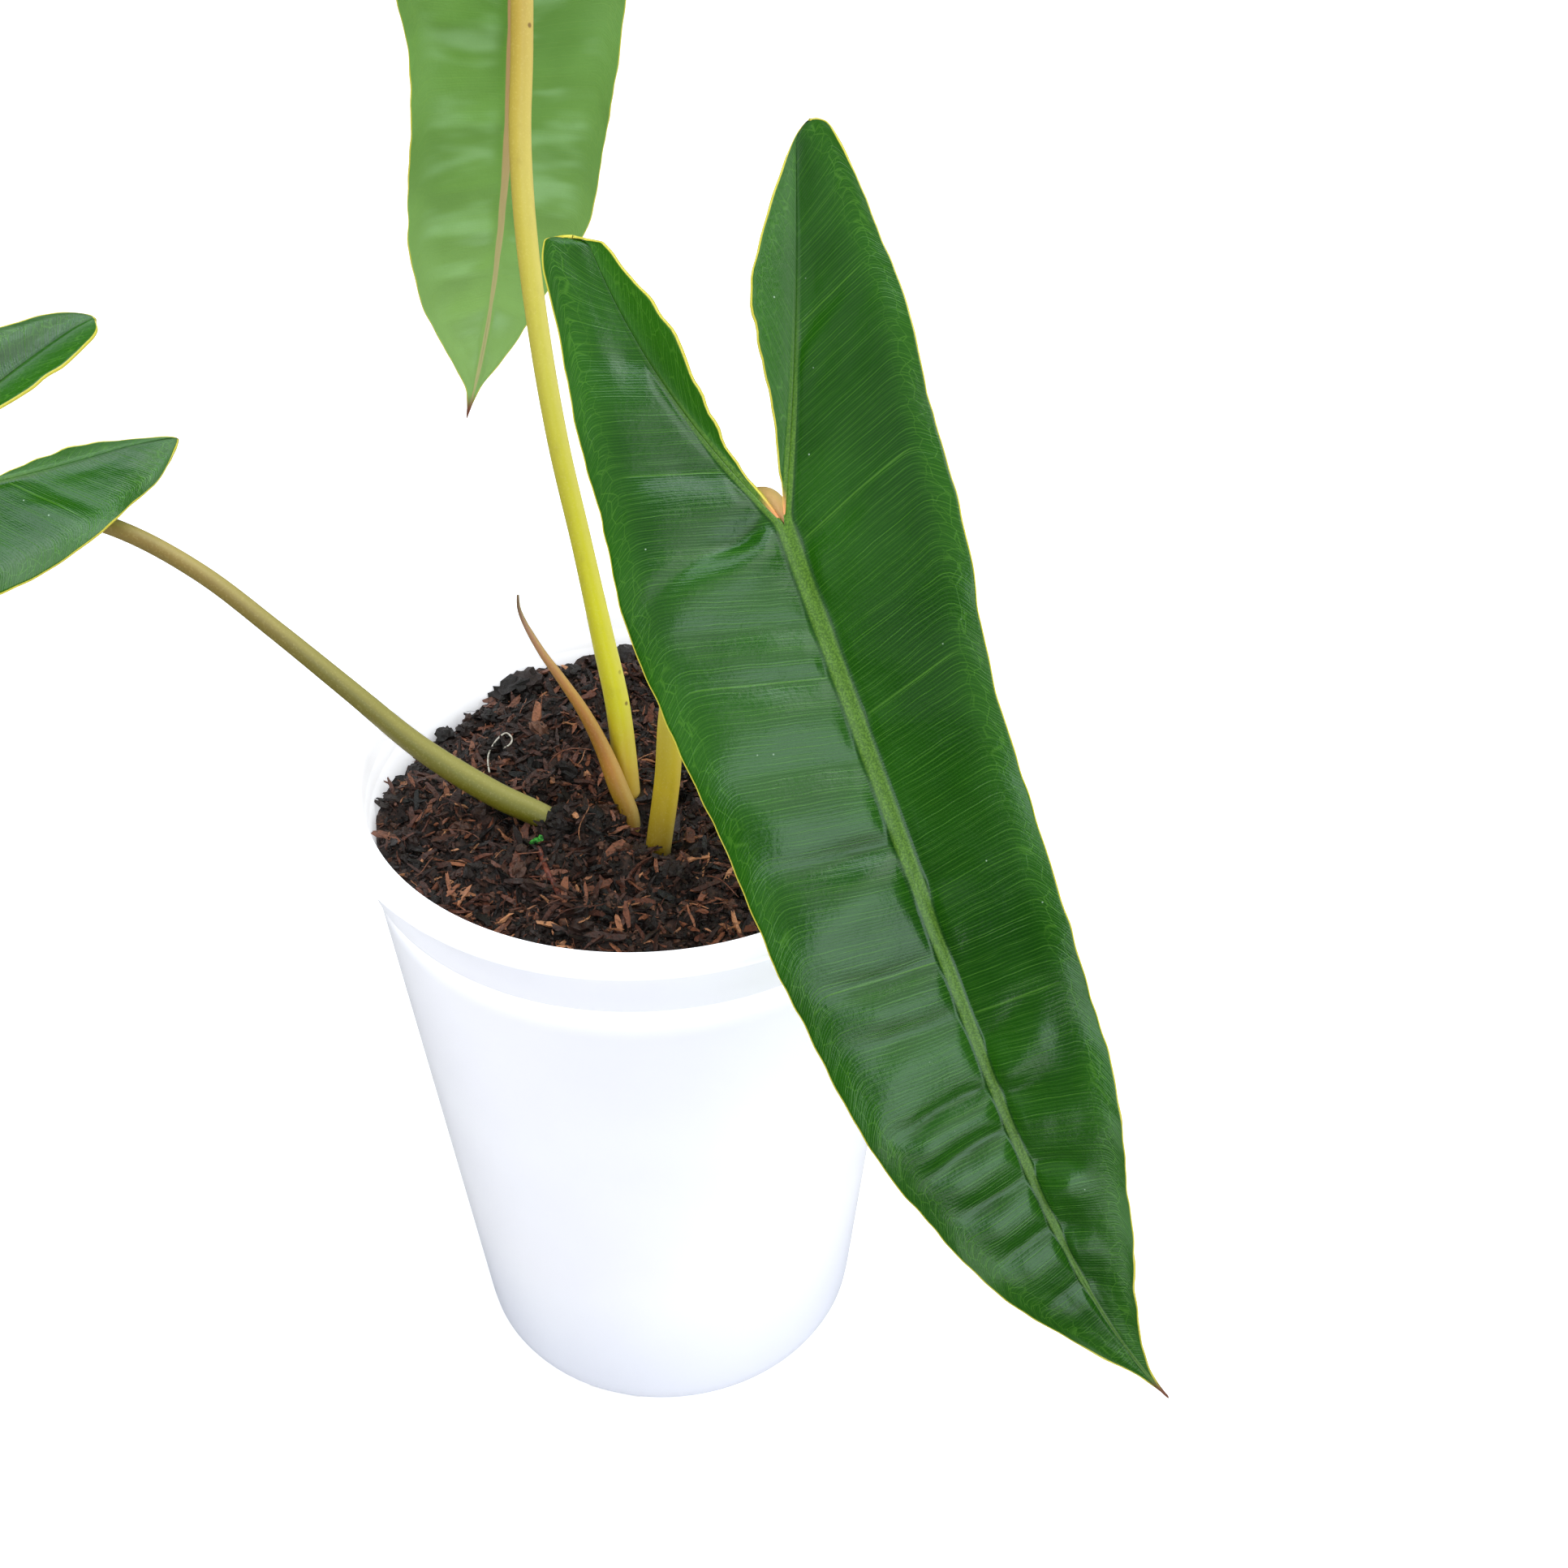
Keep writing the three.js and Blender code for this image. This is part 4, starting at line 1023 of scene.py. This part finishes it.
def buildBlade(name, leaf, finish):
    halves = [(leaf["plus"], 1), (leaf["minus"], -1)]
    outerShares = np.r_[np.linspace(0, 0.09, 8), np.linspace(0.12, 0.9, 20), 0.93, 0.96, 0.98, 1]
    innerShares = np.linspace(0, 1, 11)
    strips = []
    for half, sign in halves:
        run = BladeHalf(leaf, half)
        lobeYs = -run.lobe * np.cos(math.pi / 2 * np.arange(blade["lobeRows"]) / blade["lobeRows"])
        frontYs = leaf["length"] * (1 - (1 - np.arange(blade["rows"] + 1) / blade["rows"]) ** 1.4)
        outside = bladeStrip(leaf, half, run, sign, np.r_[lobeYs, frontYs], outerShares, False)
        inside = bladeStrip(leaf, half, run, sign, np.r_[lobeYs, 0], innerShares, True)
        strips += [(outside, sign < 0), (inside, sign > 0)]
    values, faces = stackStrips(strips)
    rounded = np.round(values["points"], 3)
    first, merged = np.unique(rounded, axis=0, return_index=True, return_inverse=True)[1:]
    merged = merged.ravel()
    points = values["points"][first]
    faces = cleanFaces(faces, merged)
    normals = sheetNormals(points, merged, faces)
    band, rise = values["band"][first], values["rise"][first]
    bell = np.exp(-((band / 1.15) ** 2))
    ridge = 1 - smoothStep(band, 0.7, 1.25)
    seam = np.exp(-(((band - 1.45) / 0.3) ** 2))
    half = blade["thickness"] / 2
    upper = points + normals * (half + blade["ribUp"] * ridge * rise - blade["seam"] * seam * rise)[:, None]
    lower = points - normals * (half + blade["ribRise"] * bell * rise)[:, None]
    solid, corners, upside = closeSheet(faces, merged, len(points))
    # the relief stays in the CAD box
    sheet = np.clip(bladeToWorld(leaf, np.vstack([upper, lower])), *cadBox)
    piece = addMesh(name, sheet, solid, finish)
    fillAttributes(piece.data, values, first, corners, upside)
    handOver(piece, "leaf_blade", leaf["node"])
    print(name, len(piece.data.polygons), "faces")


def cleanFaces(faces, merged):  # drops corners that fall together at the sinus, the tip and the lobes' ends
    kept = []
    for face in faces.tolist():
        seen, ring = set(), []
        for corner in face:
            if merged[corner] not in seen:
                seen.add(merged[corner])
                ring.append(corner)
        if len(ring) > 2:
            kept.append(ring)
    return kept


def sheetNormals(points, merged, faces):  # from each quad's diagonals or two of a triangle's sides
    total = np.zeros_like(points)
    for size in (3, 4):
        rings = np.array([merged[face] for face in faces if len(face) == size])
        if not len(rings):
            continue
        corners = points[rings]
        normal = np.cross(corners[:, 2] - corners[:, 0], corners[:, -1] - corners[:, 1])
        for k in range(size):
            np.add.at(total, rings[:, k], normal)
    return total / np.linalg.norm(total, axis=1, keepdims=True)


def closeSheet(faces, merged, count):  # both faces of the sheet and the rim between them
    solid, corners, upside, edges = [], [], [], {}
    for face in faces:
        ring = [int(merged[c]) for c in face]
        solid.append(ring)
        corners += face
        upside.append(1.0)
        solid.append([p + count for p in reversed(ring)])
        corners += face[::-1]
        upside.append(0.0)
        for i in range(len(ring)):
            edges[(ring[i], ring[(i + 1) % len(ring)])] = (face[i], face[(i + 1) % len(ring)])
    for (a, b), (ca, cb) in edges.items():
        if (b, a) not in edges:
            solid.append([b, a, a + count, b + count])
            corners += [cb, ca, ca, cb]
            upside.append(1.0)
    return solid, corners, upside


def fillAttributes(mesh, values, first, corners, upside):
    for key in ("band", "edge", "tip", "sinus", "lobeward"):
        putValues(mesh, key, np.tile(values[key][first], 2))
    for key in ("side", "inner"):
        putValues(mesh, key, values[key][corners], "CORNER")
    putValues(mesh, "upside", upside, "FACE")
    layer = mesh.uv_layers.new(name="veins")
    layer.data.foreach_set("uv", np.asarray(values["veins"][corners], np.float32).ravel())


def leafFinish():
    s = Finish("leaf")
    veins = s.node("ShaderNodeUVMap", {"uv_map": "veins"})
    along, away = veins.part(0), veins.part(1)
    edge, band, tip = s.attribute("edge"), s.attribute("band"), s.attribute("tip")
    upside, side, sinus = s.attribute("upside"), s.attribute("side"), s.attribute("sinus")
    drift = s.noise(s.vector(along * 0.12, away * 0.07), 1.0, 2) - 0.5
    line = along + drift * 1.6
    patch = s.noise(s.place, 28, 3)
    # fine side veins, and one in three or four of them clearer
    fine = ((line * (2 * math.pi / 0.68)).sine() * 0.5 + 0.5) ** 4
    clearer = s.node("ShaderNodeTexVoronoi", {"voronoi_dimensions": "1D", "feature": "F1"},
                     {"W": line / 1.5, "Scale": 1.0, "Randomness": 0.8})
    clear = clearer.fall(0.0, 0.085) * s.noise(s.vector(along * 0.6, away * 0.09), 1.0, 2).rise(0.32, 0.6)
    net = s.cells(s.vector(line / 2.9, edge / 2.4), 1.0, "DISTANCE_TO_EDGE", 0.9).fall(0.0, 0.05)
    net = net * edge.fall(3.0, 6.5) * edge.rise(0.8, 1.6)
    main = side.size().fall(0.08, 0.3) * (band - 1).rise(0.2, 1.0) * edge.rise(3.0, 9.0)
    # upper side
    lobe = s.attribute("lobeward")
    speck = s.cells(s.place, 190).fall(0.02, 0.05) * s.noise(s.place, 40, 1).rise(0.45, 0.6)
    grain = s.noise(s.place, 2600, 2)
    rib = s.mix(grain.rise(0.35, 0.7), (58, 98, 12), (88, 130, 32))
    rib = s.mix(tip.rise(0.6, 0.95) * 0.4, rib, (64, 110, 20))
    onRib = band.fall(0.8, 1.15)
    green = s.coats(
        s.mix(patch.rise(0.3, 0.7), (15, 62, 2), (27, 80, 3)),
        (edge.fall(1.0, 8.0) * 0.35, (40, 100, 2)),
        (s.attribute("inner") * 0.2, (50, 112, 14)),
        (fine * 0.17, (70, 128, 30)),
        ((clear * 0.36).most(net * 0.26), (92, 150, 44)),
        (main * 0.45, (84, 136, 40)),
        # painted shade: a dark line in the crease along each side of the midrib, not on the lobes
        (band.fall(1.15, 1.5) * lobe.fall(0.0, 0.4) * 0.45, (16, 52, 14)),
        (speck * 0.6, (190, 214, 190)),
        (onRib * lobe.fall(0.05, 0.75), rib))
    # under side
    streak = s.noise(s.vector(line * 0.11, away * 0.028), 1.0, 2).rise(0.46, 0.68) * band.rise(1.2, 5.0)
    pale = s.coats(
        s.mix(patch.rise(0.3, 0.75), (78, 126, 30), (96, 144, 50)),
        (tip.rise(0.6, 1.0) * 0.6, (146, 184, 104)),
        (streak * edge.rise(2.0, 9.0) * 0.42, (146, 188, 130)),
        (clear * 0.12 + net * 0.1, (130, 166, 60)),
        (band.fall(0.75, 1.05), s.mix(tip.rise(0.5, 0.95), (160, 124, 76), (160, 160, 104))))
    # margin, sinus and drip tip, alike on both sides
    color = s.coats(
        s.mix(upside, pale, green),
        (edge.fall(0.08, 0.32), (206, 196, 70)),
        (sinus.fall(2.0, 9.0) * edge.fall(0.4, 1.4), (226, 150, 96)),
        (tip.rise(0.965, 0.99), (112, 62, 34)))
    relief = fine * -0.35 + clear * -0.4 + net * -0.25 + main * -0.5 + s.noise(s.place, 900, 3) * 1.8
    relief = relief * (1 - onRib) + grain * onRib
    rough = 0.2 + 0.12 * patch + 0.24 * (1 - upside) + 0.2 * onRib
    raised = s.bump(relief, 0.00006, 0.8)
    return s.done({"Base Color": color, "Roughness": rough, "IOR": 1.5, "Normal": raised})


# Stalks: each follows its own curve from the rootstock to under its blade. Sizes are mm; a colour stands at a
# share of the length.
stalks = {
    "frontStalk": {
        "node": "petiole_1", "leaf": "frontLeaf", "radii": [3.1, 3.1, 2.9, 2.75, 2.6],
        "path": [
            (1.5, -21, 147), (3.6, -18.3, 169), (6.5, -13.9, 189), (8.2, -11.4, 208.6), (12.5, -8.6, 228),
            (19.5, -7.6, 247), (26, -10.8, 261), (30.8, -17.5, 266.6)],
        "colors": [
            (0.16, (116, 90, 6)), (0.2, (152, 126, 5)), (0.28, (204, 176, 10)), (0.4, (212, 192, 52)),
            (0.7, (206, 176, 88)), (0.9, (224, 180, 112)), (1, (224, 172, 108))],
    },
    "topStalk": {
        "node": "petiole_2", "leaf": "topLeaf", "radii": [3.1, 3, 2.5, 2.5, 2.55, 2.5, 2.45, 2.45, 2.4],
        "path": [
            (-3.2, -1.5, 147), (-4.3, 1, 169.8), (-6.4, 8.2, 194.5), (-9.4, 13.6, 209.8), (-13.9, 21.9, 232),
            (-18.6, 30.4, 253.4), (-22, 38.9, 274.1), (-24.7, 49.1, 297.9), (-25.4, 57.5, 317),
            (-24.4, 65, 334), (-23.6, 78, 364), (-24.2, 95, 404), (-25.4, 108, 437), (-26, 116.5, 453),
            (-26.3, 123.5, 459.5), (-26.5, 129, 456.5), (-26.6, 131.4, 449.5)],
        "colors": [
            (0.06, (176, 130, 36)), (0.09, (206, 176, 44)), (0.13, (216, 210, 14)), (0.2, (210, 206, 8)),
            (0.28, (196, 190, 42)), (0.36, (196, 188, 68)), (0.46, (190, 174, 70)), (0.56, (176, 150, 58)),
            (1, (172, 142, 60))],
    },
    "leftStalk": {
        "node": "petiole_3", "leaf": "leftLeaf", "radii": [2.9, 3.15, 2.5, 2.15, 2.05, 2],
        "path": [
            (-9, -8, 146), (-13, -8.6, 156), (-18, -8.4, 166), (-23.5, -8.1, 172), (-36.1, -5.8, 178.1),
            (-53, -2.8, 189.6), (-69, 0.1, 205), (-84.6, 2.9, 220), (-99.8, 5.6, 233.6),
            (-115.6, 8.5, 242.8), (-130, 10, 247.6), (-144, 8.6, 251.4), (-155, 3, 254),
            (-162.4, -3.8, 255.8)],
        "colors": [
            (0.14, (106, 104, 6)), (0.24, (110, 108, 8)), (0.34, (112, 106, 18)), (0.44, (114, 105, 28)),
            (0.56, (128, 108, 40)), (0.74, (142, 114, 50)), (0.88, (158, 122, 62)), (1, (168, 126, 72))],
    },
}
seats = [(0, 2.5, -3.4), (0, 9, -2.6)]  # where a stalk ends under its blade, in the blade's own mm
shoot = {
    "node": "new_shoot", "radii": [1.9, 2.1, 2.4, 2.4, 1.95, 1.5, 1.15, 0.8, 0.3],
    "path": [
        (-5, -10.5, 147), (-4.3, -8.2, 160), (-3.7, -5.4, 170.2), (-6.5, -2.7, 178.2), (-9.9, 1.3, 186.4),
        (-14.2, 4.6, 194.9), (-19.9, 7.6, 203.6), (-24, 9.6, 209.5), (-28, 12.5, 216.4),
        (-29.1, 13.9, 219.4), (-29.2, 15.2, 222)],
    "colors": [
        (0.26, (140, 104, 22)), (0.34, (168, 124, 30)), (0.44, (176, 116, 32)), (0.55, (164, 103, 24)),
        (0.68, (180, 118, 42)), (0.8, (180, 124, 74)), (0.9, (158, 114, 88)), (0.97, (104, 76, 62))],
}


def stalkTree():
    g = Grower("stalk", {"Sides": "Int", "Finish": "Material"})
    curve = g.node("GeometryNodeMeshToCurve", None, {"Mesh": g.given("Geometry")})
    girth = g.node("GeometryNodeInputNamedAttribute", {"data_type": "FLOAT"}, {"Name": "girth"})
    ring = g.node("GeometryNodeCurvePrimitiveCircle", None, {"Resolution": g.given("Sides"), "Radius": 1.0})
    skin = g.node("GeometryNodeCurveToMesh", None, {
        "Curve": curve, "Profile Curve": ring, "Scale": girth, "Fill Caps": True})
    skin = g.node("GeometryNodeSetShadeSmooth", None, {0: skin})
    # painted light and shade: how far each point of the skin faces the light from the right and above, stored
    # for its colour
    light = g.node("ShaderNodeVectorMath", {"operation": "DOT_PRODUCT"},
                   {0: g.node("GeometryNodeInputNormal"), 1: (0.75, 0.0, 0.5)}, 1)
    skin = g.node("GeometryNodeStoreNamedAttribute", {"data_type": "FLOAT", "domain": "POINT"},
                  {"Geometry": skin, "Name": "sunward", "Value": light})
    g.close(g.node("GeometryNodeSetMaterial", None, {0: skin, "Material": g.given("Finish")}))
    return g


def stalkFinish(name, colors, dotScale):
    s = Finish(name)
    along = s.attribute("along")
    mottle = s.noise(s.stretch(s.place, (1, 1, 0.4)), 260, 4, 0.6)
    dots = s.cells(s.place, dotScale).fall(0.05, 0.11) * s.noise(s.place, 55, 1).rise(0.5, 0.62)
    color = s.coats(
        s.ramp(along + (mottle - 0.5) * 0.03, colors),
        (mottle.rise(0.5, 0.8) * 0.22, (118, 92, 30)),
        # painted shade on the side turned from the light, darker olive; painted light on the side facing it,
        # paler
        (s.attribute("sunward").fall(-0.75, 0.35) * 0.42, (110, 98, 16)),
        (s.attribute("sunward").rise(0.3, 0.85) * 0.22, (236, 226, 150)),
        (s.noise(s.place, 1900, 2).rise(0.5, 0.8) * 0.14, (232, 218, 140)),
        (dots * 0.75, (98, 60, 30)))
    raised = s.bump(s.noise(s.stretch(s.place, (1, 1, 0.3)), 900, 3), 0.00012, 0.6)
    return s.done({"Base Color": color, "Roughness": 0.4 + 0.15 * mottle, "Normal": raised})


def growStalk(tree, name, path, radii, finish, sides):
    line = smoothPath(path, 1.3)
    shares = np.linspace(0, 1, len(line))
    girth = smoothThrough(np.linspace(0, 1, len(radii)), radii)(shares) * mm
    wire = addMesh(name + "Line", line * mm, [], None, [(i, i + 1) for i in range(len(line) - 1)])
    putValues(wire.data, "girth", girth)
    putValues(wire.data, "along", shares)
    piece = tree.grow(wire, name, {"Sides": sides, "Finish": finish})
    bpy.data.objects.remove(wire)
    return piece


def buildStalks():
    tree = stalkTree()
    for name, stalk in stalks.items():
        end = bladeToWorld(leaves[stalk["leaf"]], seats) / mm
        finish = stalkFinish(name + " skin", stalk["colors"], 150)
        piece = growStalk(tree, name, [*stalk["path"], *end.tolist()], stalk["radii"], finish, 24)
        handOver(piece, "leaf_stalk", stalk["node"])
    finish = stalkFinish("shoot skin", shoot["colors"], 220)
    handOver(growStalk(tree, "newShoot", shoot["path"], shoot["radii"], finish, 16), "shoot", shoot["node"])
    print("stalks and shoot grown")


# Rootstock: the buried stem keeps its solid and gets a corky skin
def finishRootstock():
    s = Finish("rootstock skin")
    cork = s.noise(s.stretch(s.place, (1, 1, 3)), 160, 4, 0.6)
    color = s.mix(cork.rise(0.35, 0.7), (112, 84, 50), (184, 156, 112))
    s.done({"Base Color": color, "Roughness": 0.85, "Normal": s.bump(cork, 0.0008, 0.8)})
    mesh = frame["nodes"]["rootstock"].data
    mesh.materials.clear()
    mesh.materials.append(s.material)


# Studio: a pale floor, soft boxes above and in front, and a pale room. The two windows light without
# gloss; the low box and the cards show only in the gloss.
studio = {"floor": 4.0, "floorGlow": 0.36, "room": (0.96, 0.98, 1.0), "roomLevel": 0.545}
lights = {  # place, aim, size, power, colour, whether it lights and whether it shows in the gloss
    "highBox": ((0.42, -1.06, 1.68), (0.05, -0.05, 0.3), (1.2, 1.2), 5.6, (0.94, 0.98, 1.0), True, True),
    "lowBox": ((0.5, -1.66, 0.72), (0.05, -0.05, 0.3), (1.15, 1.2), 12.5, (0.82, 0.97, 1.0), False, True),
    "overhead": ((0.66, 0.05, 1.55), (0, 0, 0.2), (1.3, 1.2), 12, (0.92, 0.97, 1.0), True, True),
    "leftWindow": ((-0.72, -0.1, 1.0), (0.08, -0.08, 0.2), (0.5, 0.5), 6.4, (1.0, 0.99, 0.98), True, False),
    "rightWindow": ((0.95, -0.35, 0.45), (0, 0.05, 0.3), (0.5, 0.5), 3.4, (1.0, 0.99, 0.97), True, False),
    "leftCard": ((-0.52, -0.68, 1.05), (0.08, -0.08, 0.2), (1.1, 1.1), 1.5, (0.97, 0.99, 1.0), False, True),
    "lowCard": ((0.42, -0.85, 0.02), (0.42, -0.85, 1), (0.9, 0.7), 4.5, (0.95, 0.98, 1.0), False, True),
    "backBox": ((-0.12, 0.42, 1.55), (-0.12, 0.42, 0), (0.9, 0.75), 6.2, (0.8, 0.93, 1.0), True, True),
}


def buildStudio():
    s = Finish("studio floor")
    haze = s.noise(s.place, 3, 2)
    s.done({
        "Base Color": s.mix(haze.rise(0.3, 0.7), (250, 250, 251), (252, 252, 253)), "Roughness": 0.8,
        "Specular IOR Level": 0.1, "Emission Color": (*studio["room"], 1),
        "Emission Strength": studio["floorGlow"],
    })
    half = studio["floor"]
    corners = [(-half, -half, 0), (half, -half, 0), (half, half, 0), (-half, half, 0)]
    floor = addMesh("studioFloor", corners, [[0, 1, 2, 3]], s.material)
    floor.visible_glossy = False  # a sweep of paper is too small for the leaves to mirror
    for name, (place, aim, size, power, color, diffuse, gloss) in lights.items():
        data = bpy.data.lights.new(name, "AREA")
        data.shape = "RECTANGLE"
        data.size, data.size_y = size
        data.energy = power
        data.color = color
        lamp = addObject(name, data)
        lamp.visible_diffuse = diffuse
        lamp.visible_glossy = gloss
        lamp.visible_camera = False
        lamp.location = place
        lamp.rotation_euler = (Vector(aim) - Vector(place)).to_track_quat("-Z", "Y").to_euler()
    world = bpy.data.worlds.new("room")
    world.use_nodes = True
    backdrop = world.node_tree.nodes["Background"]
    backdrop.inputs["Color"].default_value = (*studio["room"], 1)
    backdrop.inputs["Strength"].default_value = studio["roomLevel"]
    world.cycles_visibility.glossy = False  # the leaves mirror the soft boxes, not the pale room
    bpy.context.scene.world = world
    bpy.context.scene.view_settings.view_transform = "Standard"


addCamera()
buildStudio()
buildPot()
buildSoil()
finish = leafFinish()
for name, leaf in leaves.items():
    buildBlade(name, leaf, finish)
buildStalks()
finishRootstock()

bpy.context.view_layer.update()
